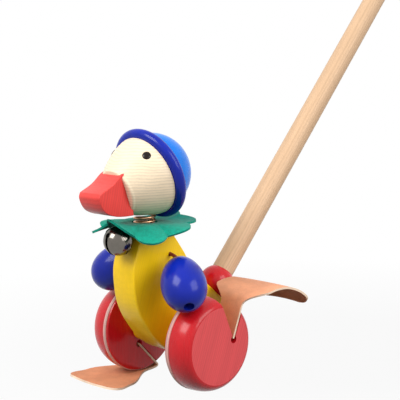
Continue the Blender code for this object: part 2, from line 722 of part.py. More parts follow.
def collar_point(angle, share):
    """A point of the felt collar; angle 0 is the front, share 0 the neck hole and 1 the lobes' edge."""
    round_lobes = COLLAR_LOBES * (angle - COLLAR_LOBE_PHASE) / 2
    lobe = 1 - COLLAR_LOBE_DEPTH * (1 - abs(math.cos(round_lobes)))
    reach = COLLAR_INNER + (COLLAR_OUTER - COLLAR_INNER) * share * lobe
    free = max(share - COLLAR_HELD, 0.0) / (1 - COLLAR_HELD)
    fold = COLLAR_FOLD * free * math.cos(round_lobes)
    rest = BODY_TOP + GAP + COLLAR_THICKNESS / 2 + 2 * WELD
    height = rest + collar_lift(angle) * free**1.3 + fold
    return (reach * math.sin(angle), NECK_Y - reach * math.cos(angle), height)


def add_collar(duck):
    angles = np.linspace(-math.pi, math.pi, COLLAR_LOBE_POINTS * COLLAR_LOBES, endpoint=False)
    grid = [[collar_point(a, share) for a in angles] for share in np.linspace(0, 1, 6)]
    duck.finish(sheet("collar", grid, COLLAR_THICKNESS, duck.parts, wrap=True), duck.felt)


def add_bell(duck):
    swing = duck.joint("bell_joint", STAPLE_AT)
    front = -math.pi / 2
    bend = [
        STAPLE_AT + Vector((STAPLE_RADIUS * math.cos(a), STAPLE_RADIUS * math.sin(a), 0))
        for a in np.linspace(front + math.pi / 2, front - math.pi / 2, 9)
    ]
    leg = Vector((0, STAPLE_LEG, 0))
    route = [bend[0] + leg, bend[0] + leg / 2, *bend, bend[-1] + leg / 2, bend[-1] + leg]
    staple = tube("bell_staple", route, RING_WIRE, duck.parts)
    duck.finish(staple, duck.nickel)
    hang = STAPLE_AT + Vector((0, -STAPLE_RADIUS, 0))
    reach = 2 * RING_WIRE + GAP
    ring_at = hang - BELL_TOP * (RING_RADIUS - reach)
    up, aside = BELL_TOP, Vector((1, 0, 0)).cross(BELL_TOP)
    ring = []
    for angle in np.linspace(0, 2 * math.pi, 16, endpoint=False):
        ring.append(ring_at + RING_RADIUS * (up * math.cos(angle) + aside * math.sin(angle)))
    duck.finish(tube("bell_loop", ring, RING_WIRE, duck.parts, cyclic=True), duck.nickel, swing)
    centre = ring_at - BELL_TOP * (RING_RADIUS + RING_WIRE + GAP + BELL_RADIUS)
    frame = frame_along(BELL_TOP, centre)
    inner = BELL_RADIUS - BELL_WALL
    seam = math.degrees(math.asin(GAP / 2 / inner))
    profile = [*arc((0, 0), BELL_RADIUS, 0, 90 - seam, 8), *arc((0, 0), inner, 90 - seam, 0, 8)]
    upper = turned("bell_upper_shell", profile, duck.parts, frame, steps=18)
    duck.finish(upper, duck.nickel, swing)
    profile = [*arc((0, 0), inner, 180, 90 + seam, 8), *arc((0, 0), BELL_RADIUS, 90 + seam, 180, 8)]
    lower = turned("bell_lower_shell", profile, duck.parts, frame, steps=18)
    half = BELL_SLOT_HALF
    size = (BELL_SLOT, 2 * BELL_RADIUS * math.sin(half), BELL_RADIUS)
    place = frame @ Matrix.Translation((0, 0, -BELL_RADIUS * (0.5 + math.cos(half))))
    slot = block("bell_slot", size, duck.cutters, place)
    ends = []
    for way in (1, -1):
        out = (frame.to_3x3() @ Vector((0, way * math.sin(half), -math.cos(half)))).normalized()
        start, end = centre + out * (inner - BELL_SLOT), centre + out * (BELL_RADIUS + BELL_SLOT)
        ends.append(cylinder(f"bell_slot_end_{way + 1}", start, end, BELL_SLOT_END, duck.cutters, 12))
    cut(lower, slot, *ends)
    duck.finish(lower, duck.nickel, swing)
    rest = centre - Vector((0, 0, inner - PELLET_RADIUS - 2 * GAP))
    duck.finish(ball("bell_pellet", rest, PELLET_RADIUS, duck.parts, 12, 8), duck.nickel, swing)
    print("bell centre", [round(v, 5) for v in centre], "pellet", [round(v, 5) for v in rest])


def wing_profile():
    """The egg of a wing, from its narrow top to its mouth, then up the bore."""
    half = WING_LENGTH / 2
    outer = []
    for angle in np.radians(np.linspace(9, 166, 14)):
        egg = 1 - WING_EGG * math.cos(angle)
        outer.append((WING_RADIUS * math.sin(angle) * egg, half * math.cos(angle)))
    top, mouth = outer[0][1], outer[-1][1]
    deep = -WING_COUNTERBORE * half
    return [(WING_BORE, top), *outer, (WING_MOUTH, mouth), (WING_MOUTH, deep), (WING_BORE, deep)]


def add_wing(duck, side, name, at):
    """A wing on its cord; its place is given on the left and mirrored for the right."""
    hole = Vector((BODY_THICKNESS / 2, *WING_HOLE_AT))
    flip = Vector((side, 1, 1))
    centre, axis, hole = at * flip, WING_AXIS * flip, hole * flip
    joint = duck.joint(f"wing_{name}_joint", hole)
    wing = turned(f"wing_{name}", wing_profile(), duck.parts, frame_along(axis, centre), closed=True, steps=22)
    duck.finish(wing, duck.blue, joint)
    half = WING_LENGTH / 2
    knot_at = centre - axis * (half * WING_COUNTERBORE + KNOT_RADIUS + 3 * GAP)
    out = Vector((side, 0, 0))
    arch = [hole + out * reach + Vector((0, 0, rise)) for reach, rise in CORD_ARCH]
    above, within = centre + axis * (half + WING_BORE), centre + axis * (half - CORD_RADIUS)
    route = [hole - out * CORD_INSIDE, *arch, above, within, centre, knot_at + axis * (KNOT_RADIUS + GAP)]
    cord = tube(f"wing_cord_{name}", smooth_path(route, 26), CORD_RADIUS, duck.parts, resolution=2)
    duck.finish(cord, duck.cord, joint)
    duck.finish(ball(f"wing_knot_{name}", knot_at, KNOT_RADIUS, duck.parts, 12, 8), duck.cord, joint)


def stand_on_floor(duck):
    """Moves the whole duck so that the origin is on the floor, below the middle of its plan."""
    for cutter in duck.cutters.objects:
        duck.attach(cutter, duck.root)
    bpy.context.view_layer.update()
    graph = bpy.context.evaluated_depsgraph_get()
    corners = []
    for obj in duck.parts.objects:
        if obj.type == "EMPTY":
            continue
        evaluated = obj.evaluated_get(graph)
        mesh = evaluated.to_mesh()
        places = np.empty(3 * len(mesh.vertices), np.float32)
        mesh.vertices.foreach_get("co", places)
        world = np.array(evaluated.matrix_world)
        corners.append(places.reshape(-1, 3) @ world[:3, :3].T + world[:3, 3])
        evaluated.to_mesh_clear()
    places = np.concatenate(corners)
    low, high = places.min(axis=0), places.max(axis=0)
    shift = Vector((-(low[0] + high[0]) / 2, -(low[1] + high[1]) / 2, -low[2]))
    duck.root.location = shift
    bpy.context.view_layer.update()
    print("frame shift", [round(v, 6) for v in shift])


def main():
    for obj in list(bpy.data.objects):
        bpy.data.objects.remove(obj, do_unlink=True)
    duck = Duck()
    add_body(duck)
    add_stick(duck)
    add_running_gear(duck)
    nod = add_neck(duck)
    add_head(duck, nod)
    add_collar(duck)
    add_bell(duck)
    add_wing(duck, 1, "left", LEFT_WING_AT)
    add_wing(duck, -1, "right", RIGHT_WING_AT)
    stand_on_floor(duck)


if __name__ == "__main__":
    main()
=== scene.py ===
"""Looks of a wooden push-along duck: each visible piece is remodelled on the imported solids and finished."""

import math

import bmesh
import bpy
from bpy.props import FloatProperty, FloatVectorProperty, IntProperty, PointerProperty
from mathutils import Matrix, Vector


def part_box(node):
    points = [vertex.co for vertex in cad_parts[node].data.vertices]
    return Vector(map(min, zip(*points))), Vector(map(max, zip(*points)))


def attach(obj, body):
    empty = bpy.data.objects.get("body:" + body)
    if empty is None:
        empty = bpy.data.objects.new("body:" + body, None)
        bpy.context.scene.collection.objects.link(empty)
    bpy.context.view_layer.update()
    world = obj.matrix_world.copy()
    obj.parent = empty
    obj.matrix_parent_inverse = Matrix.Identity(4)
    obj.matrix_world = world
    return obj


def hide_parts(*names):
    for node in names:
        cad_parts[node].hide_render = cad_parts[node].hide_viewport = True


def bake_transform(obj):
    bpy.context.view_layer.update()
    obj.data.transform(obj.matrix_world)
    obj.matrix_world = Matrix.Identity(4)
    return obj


bl_info = {
    "name": "Push-along duck",
    "version": (1, 0, 0),
    "blender": (4, 5, 0),
    "location": "View3D > Sidebar > Duck",
    "description": "Models and finishes the pieces of a wooden push-along duck around its solids",
    "category": "Object",
}

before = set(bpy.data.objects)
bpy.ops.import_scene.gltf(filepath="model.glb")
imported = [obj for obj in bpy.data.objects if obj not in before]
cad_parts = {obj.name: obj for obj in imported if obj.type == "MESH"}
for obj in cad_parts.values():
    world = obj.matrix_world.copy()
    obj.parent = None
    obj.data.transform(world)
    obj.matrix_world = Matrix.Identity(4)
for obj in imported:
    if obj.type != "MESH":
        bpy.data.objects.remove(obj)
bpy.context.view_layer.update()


def centre_of(node):
    low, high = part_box(node)
    return (low + high) / 2


# The axle's middle is where every place below is counted from. The duck faces -Y and its left is +X.
AXLE = centre_of("axle")
WELD = 0.00001
GAP = 0.0003
FULL_TURN = 2 * math.pi
WIRE_ROUNDNESS = 5
SIDES = ((1, "left"), (-1, "right"))

BODY_TOP = 0.0783
NECK_Y = -0.0223
BODY_FRONT = (
    (-0.0335, BODY_TOP), (-0.0365, 0.0665), (-0.041, 0.052), (-0.041, 0.040), (-0.039, 0.028),
    (-0.035, 0.0185), (-0.0295, 0.010), (-0.022, 0.001), (-0.012, -0.007), (0.0, -0.011),
    (0.016, -0.0085), (0.033, 0.0035),
)
BODY_BACK = ((0.014, 0.043), (0.004, 0.058), (-0.005, 0.070), (-0.0112, BODY_TOP))
TAIL_HALF_WIDTH = 0.011
SOCKET_RADIUS = 0.0084
SOCKET_DEPTH = 0.008

STICK_SLOPE = math.radians(49.2)
STICK_WAY = Vector((0.0, math.cos(STICK_SLOPE), math.sin(STICK_SLOPE)))
BALL_AT = Vector((0.0, 0.0448, 0.0298))
STICK_SOCKET = 0.024

WHEEL_INNER_X = 0.0295
WHEEL_SHOULDER_START = 0.006
TYRE_FROM = 0.0013
TYRE_TO = 0.0047
TYRE_DEPTH = 0.002
TYRE_PROUD = 0.0002
TYRE_LINE_AT = 0.0012
TYRE_LINE_HALF = 0.0003
TYRE_LINE_FADED = 0.0006
RIM_STEP = 0.0004
RIM_CHAMFER = 0.0011
AXLE_RADIUS = 0.005
SLOT_OFFSET = 0.0106
SLOT_START = 0.007
CUT_REACH = 1.5
NOTCH_ANGLE = math.radians(44.6)
NOTCHED_WHEEL = "left"
SAWN_FACE_LEAN = math.radians(5)
SLOT_PHASE = {"left": math.radians(69.0), "right": math.radians(-46.4)}

TAB_HALF_WIDTH = 0.0096
FOOT_LENGTH = 0.064
FOOT_CORNER = 0.012
WEB_FIRST_SPREAD = 0.8
RAISED_FOOT = (
    (0.0245, 0.0300), (0.033, 0.0338), (0.047, 0.0352), (0.058, 0.0324), (0.066, 0.0272), (0.0715, 0.0212),
)
RAISED_SPREAD = (0.0, 0.017)
RAISED_CROWN = -0.001
FLAT_FOOT_HEEL = ((0.0144, -0.0304), (0.0149, -0.0314), (0.0140, -0.0322), (0.0095, -0.0330))
FLAT_FOOT_SOLE = (
    (0.004, 0.0), (-0.006, 0.0), (-0.018, 0.0), (-0.030, 0.0), (-0.040, 0.0004), (-0.0475, 0.0012),
)
FLAT_SPREAD = (0.010, 0.044)
FLAT_CURL = 0.0006
FLAT_SKEW = 0.0085
FOOT_ROWS = 120
FOOT_COLUMNS = 25

SPRING_LOW = 0.0715
SPRING_HIGH = 0.0929
SPRING_TURNS = 7
POINTS_PER_TURN = 28

HEAD_AT = Vector((0.0, -0.0211, 0.1107))
HEAD_TILT = math.radians(-69.6)
HEAD_REACH = 0.039
HEAD_FULLNESS = 1.45
HEAD_FACE = 0.027
HEAD_FACE_EDGE = 0.0016
EYE_ALONG = 0.0076
EYE_ROUND = math.radians(138.0)
EYE_SEAT = 0.0021
EYE_RISE = 0.0009
EYE_STEPS = 40
CROWN_CENTRE = 0.005
SPIGOT_RADIUS = 0.018
BEAK_FRONT = (
    (-0.044, 0.1158), (-0.0502, 0.1138), (-0.0580, 0.1074), (-0.0676, 0.1024), (-0.0684, 0.0992),
    (-0.0667, 0.0945), (-0.0630, 0.0902), (-0.056, 0.0875), (-0.048, 0.0867), (-0.0405, 0.0868),
)

COLLAR_INNER = 0.0088
COLLAR_HELD = 0.3
COLLAR_BEND = 1.3
COLLAR_CLEAR = 0.0001
COLLAR_LEFT = math.radians(59)
COLLAR_HANG = 0.004
COLLAR_TURN_UP = 0.004
COLLAR_WAVE = 0.0012
COLLAR_DROOP = 0.003
COLLAR_OVER_BELL = 0.0125
COLLAR_BELL_ANGLE = math.radians(7)
COLLAR_BELL_SPREAD = math.radians(26)
COLLAR_LOBE_DEPTH = 0.26
COLLAR_LOBE_PHASE = math.radians(14)
COLLAR_ROWS = 15
COLLAR_POINTS_PER_LOBE = 42

BELL_TOP = Vector((0.0, 0.87, 0.49)).normalized()
BELL_AT = Vector((0.003, -0.04762, 0.07009))
BELL_SLOT_HALF = math.radians(58)
BELL_LIP = 1.6
BELL_HOLE = 0.85

WING_LENGTH = 0.042
WING_EGG = 0.10
WING_SKIN = (math.radians(9), math.radians(166))
WING_BORE = 0.0018
WING_MOUTH = 0.0035
WING_COUNTERBORE = 0.4
WING_HOLE = Vector((0.011, -0.0094, 0.058))
WING_AT = {"left": Vector((0.0375, -0.0219, 0.0436)), "right": Vector((0.0302, -0.0205, 0.0462))}
WING_WAY = Vector((-0.704, 0.41, 0.58)).normalized()
CORD_INSIDE = 0.0045
CORD_POINTS = 60
CORD_ARCH = ((0.0012, 0.0),)

CAMERA_AT = Vector((0.503564, -0.452375, 0.171439))
CAMERA_ELEVATION = math.radians(6.63)
CAMERA_TURN = math.radians(46.3)
CAMERA_LENS = 90.0
SENSOR = 36.0
LAMP_AIM = (0.0, 0.0, 0.04)
KEY_LAMP_AT = (-0.15, -1.1, 0.95)
KEY_LAMP_SIZE = 0.7
KEY_LAMP_WATTS = 12.0
FILL_LAMP_AT = (1.1, 0.1, 0.7)
FILL_LAMP_SIZE = 0.8
FILL_LAMP_WATTS = 9.0
SKY_ON_THE_DUCK = 0.95
FLOOR_RADIUS = 0.6
FLOOR_SPREAD = 20
FLOOR_WHITENS_FROM = 0.1
FLOOR_WHITE_AT = 0.4
FLOOR_WHITE_NEAR = 0.94


def length(label, text, default):
    return FloatProperty(
        name=label, description=text, default=default, min=0.0, precision=5, subtype="DISTANCE", unit="LENGTH"
    )


def tint(label, text, default):
    return FloatVectorProperty(
        name=label, description=text, default=default, size=3, min=0.0, max=1.0, subtype="COLOR"
    )


class DuckSizes(bpy.types.PropertyGroup):
    """Sizes of the pieces, in metres"""

    turn_steps: IntProperty(name="Turning steps", description="Faces round a piece", default=96, min=12)
    body_thickness: length("Body thickness", "Thickness of the yellow board", 0.022)
    body_edge: length("Body edge", "Rounding of the board's edges", 0.0024)
    stick_radius: length("Stick radius", "Radius of the push stick", 0.008)
    stick_length: length("Stick length", "Length of the push stick, socket included", 0.5)
    stick_round: length("Stick end rounding", "Rounding of the stick's top end", 0.0015)
    ball_radius: length("Tail ball radius", "Radius of the red ball on the stick", 0.0124)
    wheel_radius: length("Wheel radius", "Radius of the turned wheel", 0.032)
    wheel_width: length("Wheel width", "Width of the turned wheel", 0.0201)
    wheel_flat: length("Wheel flat radius", "Radius of the flat outer face", 0.0253)
    slot_width: length("Saw slot width", "Width of the slot that holds a foot", 0.0022)
    slot_stop: length("Slot hole radius", "Radius of the hole at the slot's inner end", 0.0026)
    spacer_radius: length("Spacer radius", "Radius of the axle spacers", 0.0095)
    leather: length("Leather thickness", "Thickness of the feet", 0.0014)
    foot_half: length("Foot half width", "Half the width of a foot's web", 0.0285)
    spring_radius: length("Spring radius", "Radius of the neck spring's turns", 0.0067)
    spring_wire: length("Spring wire", "Thickness of the spring's wire", 0.0018)
    head_radius: length("Head radius", "Radius of the turned head", 0.0272)
    brim_radius: length("Brim radius", "Radius of the cap's brim", 0.0318)
    brim_height: length("Brim height", "Height of the cap's brim", 0.0078)
    crown_radius: length("Crown radius", "Radius of the cap's crown", 0.0268)
    eye_radius: length("Eye radius", "Radius of an eye", 0.0028)
    beak_half: length("Beak half width", "Half the beak's width", 0.0108)
    beak_edge: length("Beak edge", "Rounding of the beak's edges", 0.0009)
    collar_reach: length("Collar reach", "Radius of the collar's longest lobes", 0.035)
    collar_lobes: IntProperty(name="Collar lobes", description="Leaves round the collar", default=8, min=3)
    collar_fold: length("Collar fold", "Height of the collar's folds", 0.0012)
    felt: length("Felt thickness", "Thickness of the collar", 0.0014)
    wing_radius: length("Wing radius", "Radius of a wing at its widest", 0.0149)
    cord_radius: length("Cord radius", "Radius of a wing's cord", 0.0012)
    knot_radius: length("Knot radius", "Radius of the knot in a wing's mouth", 0.003)
    bell_radius: length("Bell radius", "Radius of the bell", 0.0097)
    bell_wall: length("Bell wall", "Thickness of the bell's sheet", 0.0007)
    bell_slot: length("Bell slot", "Width of the bell's sound slot", 0.0022)


class DuckColours(bpy.types.PropertyGroup):
    """Colours of the finishes"""

    yellow: tint("Yellow stain", "Stained board", (0.98, 0.62, 0.006))
    red: tint("Red stain", "Turned red pieces", (0.60, 0.009, 0.015))
    # Lighter, pinker red of the wheels' outer flat faces: partly a thinner stain on the sawn face, partly a
    # painted reflection of the white surroundings.
    red_face_and_reflection: tint("Red cut face", "Flat sawn faces of the wheels, thinner in stain", (0.70, 0.085, 0.09))
    coral: tint("Beak red", "Beak, a little lighter than the wheels", (0.80, 0.06, 0.05))
    blue: tint("Dark blue lacquer", "Brim and wings", (0.004, 0.016, 0.31))
    sky: tint("Light blue lacquer", "Crown of the cap", (0.0, 0.17, 0.68))
    maple: tint("Maple", "Bare head", (0.86, 0.70, 0.50))
    beech: tint("Beech", "Bare stick", (0.62, 0.41, 0.25))
    eye: tint("Eye", "Dark stained eyes", (0.012, 0.006, 0.005))
    # Pinker than bare pale rubber: partly the rubber's own tint, partly a painted red reflection from the
    # wheel's groove beneath.
    rubber: tint("Tyre", "Rubber of the tyres", (0.72, 0.36, 0.32))
    rubber_line: tint("Tyre line", "Moulded line round a tyre", (0.36, 0.30, 0.26))
    leather: tint("Leather", "Grain side of the feet", (0.68, 0.285, 0.145))
    leather_edge: tint("Leather edge", "Bare cut edge of the feet", (0.82, 0.62, 0.46))
    leather_back: tint("Leather back", "Flesh side of the feet", (0.62, 0.25, 0.12))
    felt: tint("Felt", "Collar", (0.0, 0.27, 0.185))
    # Darkened far below bare nickel: a painted dark reflection, standing in for the dark surroundings that
    # the polished bell mirrors.
    nickel: tint("Nickel", "Bell and its wires", (0.17, 0.155, 0.135))
    copper: tint("Coppered wire", "Neck spring", (0.72, 0.40, 0.24))
    cord: tint("Cord", "Wing cords", (0.30, 0.045, 0.03))
    floor: tint("Floor", "Pale floor", (0.86, 0.86, 0.86))


def place(*point):
    """A place counted from the axle, in the row frame."""
    return AXLE + Vector(point)


def frame_along(way, at):
    """A frame at a point whose +Z runs along the way."""
    turn = Vector((0, 0, 1)).rotation_difference(Vector(way)).to_matrix().to_4x4()
    return Matrix.Translation(at) @ turn


def shares(count):
    """Even shares from 0 to 1."""
    return [i / (count - 1) for i in range(count)]


def quarter_round(count):
    """(cosine, sine) pairs over a quarter turn."""
    angles = [math.pi / 2 * share for share in shares(count)]
    return [(math.cos(angle), math.sin(angle)) for angle in angles]


def arc(height, radius, start, end, count):
    """Points of an arc as (radius, height) pairs; angles count from the axis."""
    angles = [start + (end - start) * share for share in shares(count)]
    return [(radius * math.sin(angle), height + radius * math.cos(angle)) for angle in angles]


def smoothstep(low, high, value):
    t = min(max((value - low) / (high - low), 0.0), 1.0)
    return t * t * (3 - 2 * t)


def smooth_path(points, per_span=16, count=None):
    """Points on a smooth curve through the given ones, evenly spaced where a count is given."""
    knots = [Vector(p) for p in points]
    ends = [2 * knots[0] - knots[1], *knots, 2 * knots[-1] - knots[-2]]
    fine = []
    for i in range(len(knots) - 1):
        before, start, end, after = ends[i : i + 4]
        for k in range(per_span):
            t = k / per_span
            pull = (end - before) * t + (2 * before - 5 * start + 4 * end - after) * t * t
            bend = (3 * start - before - 3 * end + after) * t**3
            fine.append(start + 0.5 * (pull + bend))
    fine.append(knots[-1])
    if count is None:
        return fine
    run = [0.0]
    for a, b in zip(fine, fine[1:]):
        run.append(run[-1] + (b - a).length)
    even, k = [], 0
    for share in shares(count):
        wanted = run[-1] * share
        while k < len(fine) - 2 and run[k + 1] < wanted:
            k += 1
        even.append(fine[k].lerp(fine[k + 1], (wanted - run[k]) / (run[k + 1] - run[k])))
    return even


def outline_path(points, sharp):
    """A closed outline through the points, smooth between the sharp ones."""
    ring = [*points[sharp[0] :], *points[: sharp[0]]]
    corners = [(i - sharp[0]) % len(points) for i in sharp] + [len(points)]
    ring.append(ring[0])
    path = []
    for start, end in zip(corners, corners[1:]):
        span = ring[start : end + 1]
        path += [Vector(p) for p in span[:1]] if len(span) == 2 else smooth_path(span, 8)[:-1]
    return path


def only(piece):
    """Selects one object alone and makes it active."""
    bpy.ops.object.select_all(action="DESELECT")
    piece.select_set(True)
    bpy.context.view_layer.objects.active = piece


def begin(name, first):
    """A new object in edit mode with one selected point, merged from a small plane."""
    bpy.ops.object.select_all(action="DESELECT")
    bpy.ops.mesh.primitive_plane_add(size=GAP, location=(0, 0, 0))
    piece = bpy.context.object
    piece.name = piece.data.name = name
    bpy.ops.object.mode_set(mode="EDIT")
    bpy.ops.mesh.select_all(action="SELECT")
    bpy.ops.mesh.merge(type="CENTER")
    bpy.ops.transform.translate(value=first)
    return piece


def draw(points):
    """Extrudes the selected point along a line of points."""
    for a, b in zip(points, points[1:]):
        bpy.ops.mesh.extrude_vertices_move(TRANSFORM_OT_translate={"value": b - a})


def settle(piece, matrix):
    """Leaves edit mode and puts the piece's place into its mesh."""
    if bpy.context.mode != "OBJECT":
        bpy.ops.object.mode_set(mode="OBJECT")
    only(piece)
    piece.matrix_world = matrix
    bpy.ops.object.transform_apply(location=True, rotation=True, scale=True)
    return piece


def weld_outwards():
    bpy.ops.mesh.select_all(action="SELECT")
    bpy.ops.mesh.remove_doubles(threshold=WELD)
    bpy.ops.mesh.normals_make_consistent(inside=False)


def turned(name, profile, matrix, steps):
    """A piece turned on the lathe: a profile of (radius, height) points spun round +Z, then placed."""
    points = [Vector((radius, 0.0, height)) for radius, height in profile]
    piece = begin(name, points[0])
    draw(points)
    bpy.ops.mesh.select_all(action="SELECT")
    bpy.ops.mesh.spin(steps=steps, angle=FULL_TURN, center=(0, 0, 0), axis=(0, 0, 1))
    weld_outwards()
    return settle(piece, matrix)


def sawn(name, outline, thickness):
    """A piece sawn from a board: an outline of (y, z) points counted from the axle, and its thickness."""
    points = [Vector((-thickness / 2, y, z)) for y, z in outline]
    points.append(points[0])
    piece = begin(name, points[0])
    draw(points)
    bpy.ops.mesh.select_all(action="SELECT")
    bpy.ops.mesh.remove_doubles(threshold=WELD)
    bpy.ops.mesh.edge_face_add()
    bpy.ops.mesh.extrude_region_move(TRANSFORM_OT_translate={"value": (thickness, 0, 0)})
    weld_outwards()
    return settle(piece, Matrix.Translation(AXLE))


def wire(name, points, radius, cyclic=False):
    """A round wire or cord: a drawn line, turned into a curve with a round section and back into a mesh."""
    line = [*points, points[0]] if cyclic else points
    piece = begin(name, line[0])
    draw(line)
    bpy.ops.mesh.select_all(action="SELECT")
    bpy.ops.mesh.remove_doubles(threshold=WELD)
    bpy.ops.object.mode_set(mode="OBJECT")
    only(piece)
    bpy.ops.object.convert(target="CURVE")
    piece = bpy.context.object
    piece.data.dimensions = "3D"
    piece.data.bevel_depth = radius
    piece.data.bevel_resolution = WIRE_ROUNDNESS
    piece.data.use_fill_caps = True
    bpy.ops.object.convert(target="MESH")
    piece = bpy.context.object
    piece.name = piece.data.name = name
    bpy.ops.object.mode_set(mode="EDIT")
    weld_outwards()
    return settle(piece, Matrix.Identity(4))


def drill(name, start, end, radius, vertices=48):
    """A round cutter between two points."""
    bpy.ops.object.select_all(action="DESELECT")
    start, end = Vector(start), Vector(end)
    bpy.ops.mesh.primitive_cylinder_add(radius=radius, depth=(end - start).length, vertices=vertices)
    cutter = bpy.context.object
    cutter.name = name
    return settle(cutter, frame_along(end - start, (start + end) / 2))


def saw_blade(name, size, matrix):
    """A flat cutter."""
    bpy.ops.object.select_all(action="DESELECT")
    bpy.ops.mesh.primitive_cube_add(size=1.0)
    cutter = bpy.context.object
    cutter.name = name
    return settle(cutter, matrix @ Matrix.Diagonal((*size, 1.0)))


def apply_modifier(piece, kind, **settings):
    modifier = piece.modifiers.new(kind.title(), kind)
    for key, value in settings.items():
        setattr(modifier, key, value)
    only(piece)
    bpy.ops.object.modifier_apply(modifier=modifier.name)


def cut(piece, *cutters):
    """Cuts the piece with each cutter, which is then removed."""
    for cutter in cutters:
        before = len(piece.data.polygons)
        apply_modifier(piece, "BOOLEAN", operation="DIFFERENCE", solver="EXACT", object=cutter)
        bpy.data.objects.remove(cutter, do_unlink=True)
        if len(piece.data.polygons) in (0, before):
            raise RuntimeError(f"{piece.name}: a cut changed nothing or removed it all")
    return piece


def smooth(piece, degrees=35):
    only(piece)
    bpy.ops.object.shade_smooth_by_angle(angle=math.radians(degrees))
    return piece


def ease_edges(piece, width, degrees=50, segments=4):
    """Sands the piece's sharp edges round."""
    limit = math.radians(degrees)
    apply_modifier(piece, "BEVEL", width=width, segments=segments, limit_method="ANGLE", angle_limit=limit)
    return piece


def dress(piece, finish, nodes):
    """Gives a piece its finish and hides the solids that it stands for."""
    piece.data.materials.clear()
    piece.data.materials.append(finish)
    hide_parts(*nodes)
    return piece


def fit(piece, body, slot, finish, *nodes):
    dress(piece, finish, nodes)
    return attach(piece, body)


def sheet_from(name, grid, wrap=False):
    """A sheet's middle face from a grid of points, joined to a ring where it wraps."""
    mesh = bpy.data.meshes.new(name)
    piece = bpy.data.objects.new(name, mesh)
    bpy.context.scene.collection.objects.link(piece)
    work = bmesh.new()
    rows = [[work.verts.new(point) for point in row] for row in grid]
    columns = len(grid[0])
    for upper, lower in zip(rows, rows[1:]):
        for j in range(columns if wrap else columns - 1):
            k = (j + 1) % columns
            work.faces.new((upper[j], upper[k], lower[k], lower[j]))
    work.normal_update()
    work.to_mesh(mesh)
    work.free()
    return piece


class Nodes:
    """A material's or group's tree, with short ways to add and link nodes."""

    def __init__(self, tree):
        self.tree = tree

    def add(self, kind, values=(), **settings):
        node = self.tree.nodes.new(kind)
        for key, value in settings.items():
            setattr(node, key, value)
        for key, value in dict(values).items():
            self.put(value, node.inputs[key])
        return node

    def put(self, value, socket):
        if isinstance(value, bpy.types.NodeSocket):
            self.tree.links.new(value, socket)
        else:
            socket.default_value = value

    def noise(self, vector, scale, detail=2.0, roughness=0.5):
        values = {"Vector": vector, "Scale": scale, "Detail": detail, "Roughness": roughness}
        return self.add("ShaderNodeTexNoise", values).outputs["Fac"]

    def spread(self, value, low, high, to_low=0.0, to_high=1.0):
        values = {"Value": value, "From Min": low, "From Max": high, "To Min": to_low, "To Max": to_high}
        return self.add("ShaderNodeMapRange", values).outputs["Result"]

    def sum(self, kind, a, b):
        return self.add("ShaderNodeMath", {0: a, 1: b}, operation=kind).outputs[0]

    def mix(self, share, a, b):
        node = self.add("ShaderNodeMix", data_type="RGBA")
        for value, index in ((share, 0), (a, 6), (b, 7)):
            self.put(value, node.inputs[index])
        return node.outputs[2]

    def coordinates(self, turn=(0, 0, 0)):
        source = self.add("ShaderNodeTexCoord").outputs["Object"]
        return self.add("ShaderNodeMapping", {"Vector": source, "Rotation": turn}).outputs["Vector"]


def new_group(name, inputs, outputs):
    """A shader node group with its sockets, its inner nodes and its two ends."""
    tree = bpy.data.node_groups.new(name, "ShaderNodeTree")
    for label, kind, default in inputs:
        socket = tree.interface.new_socket(label, in_out="INPUT", socket_type=kind)
        if default is not None:
            socket.default_value = default
    for label, kind in outputs:
        tree.interface.new_socket(label, in_out="OUTPUT", socket_type=kind)
    inner = Nodes(tree)
    return inner, inner.add("NodeGroupInput").outputs, inner.add("NodeGroupOutput").inputs


def wood_grain_group():
    """Long fibres, broad bands and short flecks; +Z of the vector runs along the grain, in metres."""
    name = "wood_grain"
    if name in bpy.data.node_groups:
        return bpy.data.node_groups[name]
    inner, given, out = new_group(
        name,
        (
            ("Vector", "NodeSocketVector", None),
            ("Pale", "NodeSocketColor", (0.8, 0.6, 0.4, 1.0)),
            ("Dark", "NodeSocketColor", (0.6, 0.4, 0.25, 1.0)),
            ("Contrast", "NodeSocketFloat", 0.5),
            ("Flecks", "NodeSocketFloat", 0.3),
            ("Lines", "NodeSocketFloat", 0.2),
        ),
        (("Color", "NodeSocketColor"), ("Height", "NodeSocketFloat"), ("Roughness", "NodeSocketFloat")),
    )

    def scaled(size):
        values = {0: given["Vector"], 1: size}
        return inner.add("ShaderNodeVectorMath", values, operation="MULTIPLY").outputs[0]

    fibres = inner.noise(scaled((1300, 1300, 45)), 1.0, 6.0, 0.6)
    bands = inner.noise(scaled((210, 210, 7)), 1.0, 3.0, 0.55)
    flecks = inner.noise(scaled((1500, 1500, 230)), 1.0, 2.0)
    both = inner.sum("ADD", inner.sum("MULTIPLY", fibres, 0.55), inner.sum("MULTIPLY", bands, 0.45))
    wavy = {"Scale": 170.0, "Distortion": 5.0, "Detail": 3.0, "Detail Scale": 0.6}
    wavy["Vector"] = scaled((1, 1, 0.12))
    rings = inner.add("ShaderNodeTexWave", wavy, bands_direction="Y").outputs["Fac"]
    lines = inner.sum("MULTIPLY", inner.sum("POWER", rings, 2.5), given["Lines"])
    bands = inner.sum("MULTIPLY", inner.spread(both, 0.36, 0.64), given["Contrast"])
    share = inner.sum("MINIMUM", inner.sum("ADD", bands, lines), 1.0)
    fleck = inner.sum("MULTIPLY", inner.spread(flecks, 0.60, 0.72), given["Flecks"])
    colour = inner.mix(share, given["Pale"], given["Dark"])
    inner.put(inner.mix(fleck, colour, given["Dark"]), out["Color"])
    inner.put(inner.sum("SUBTRACT", fibres, inner.sum("MULTIPLY", fleck, 0.5)), out["Height"])
    inner.put(inner.spread(fibres, 0.3, 0.7, -0.05, 0.07), out["Roughness"])
    return inner.tree


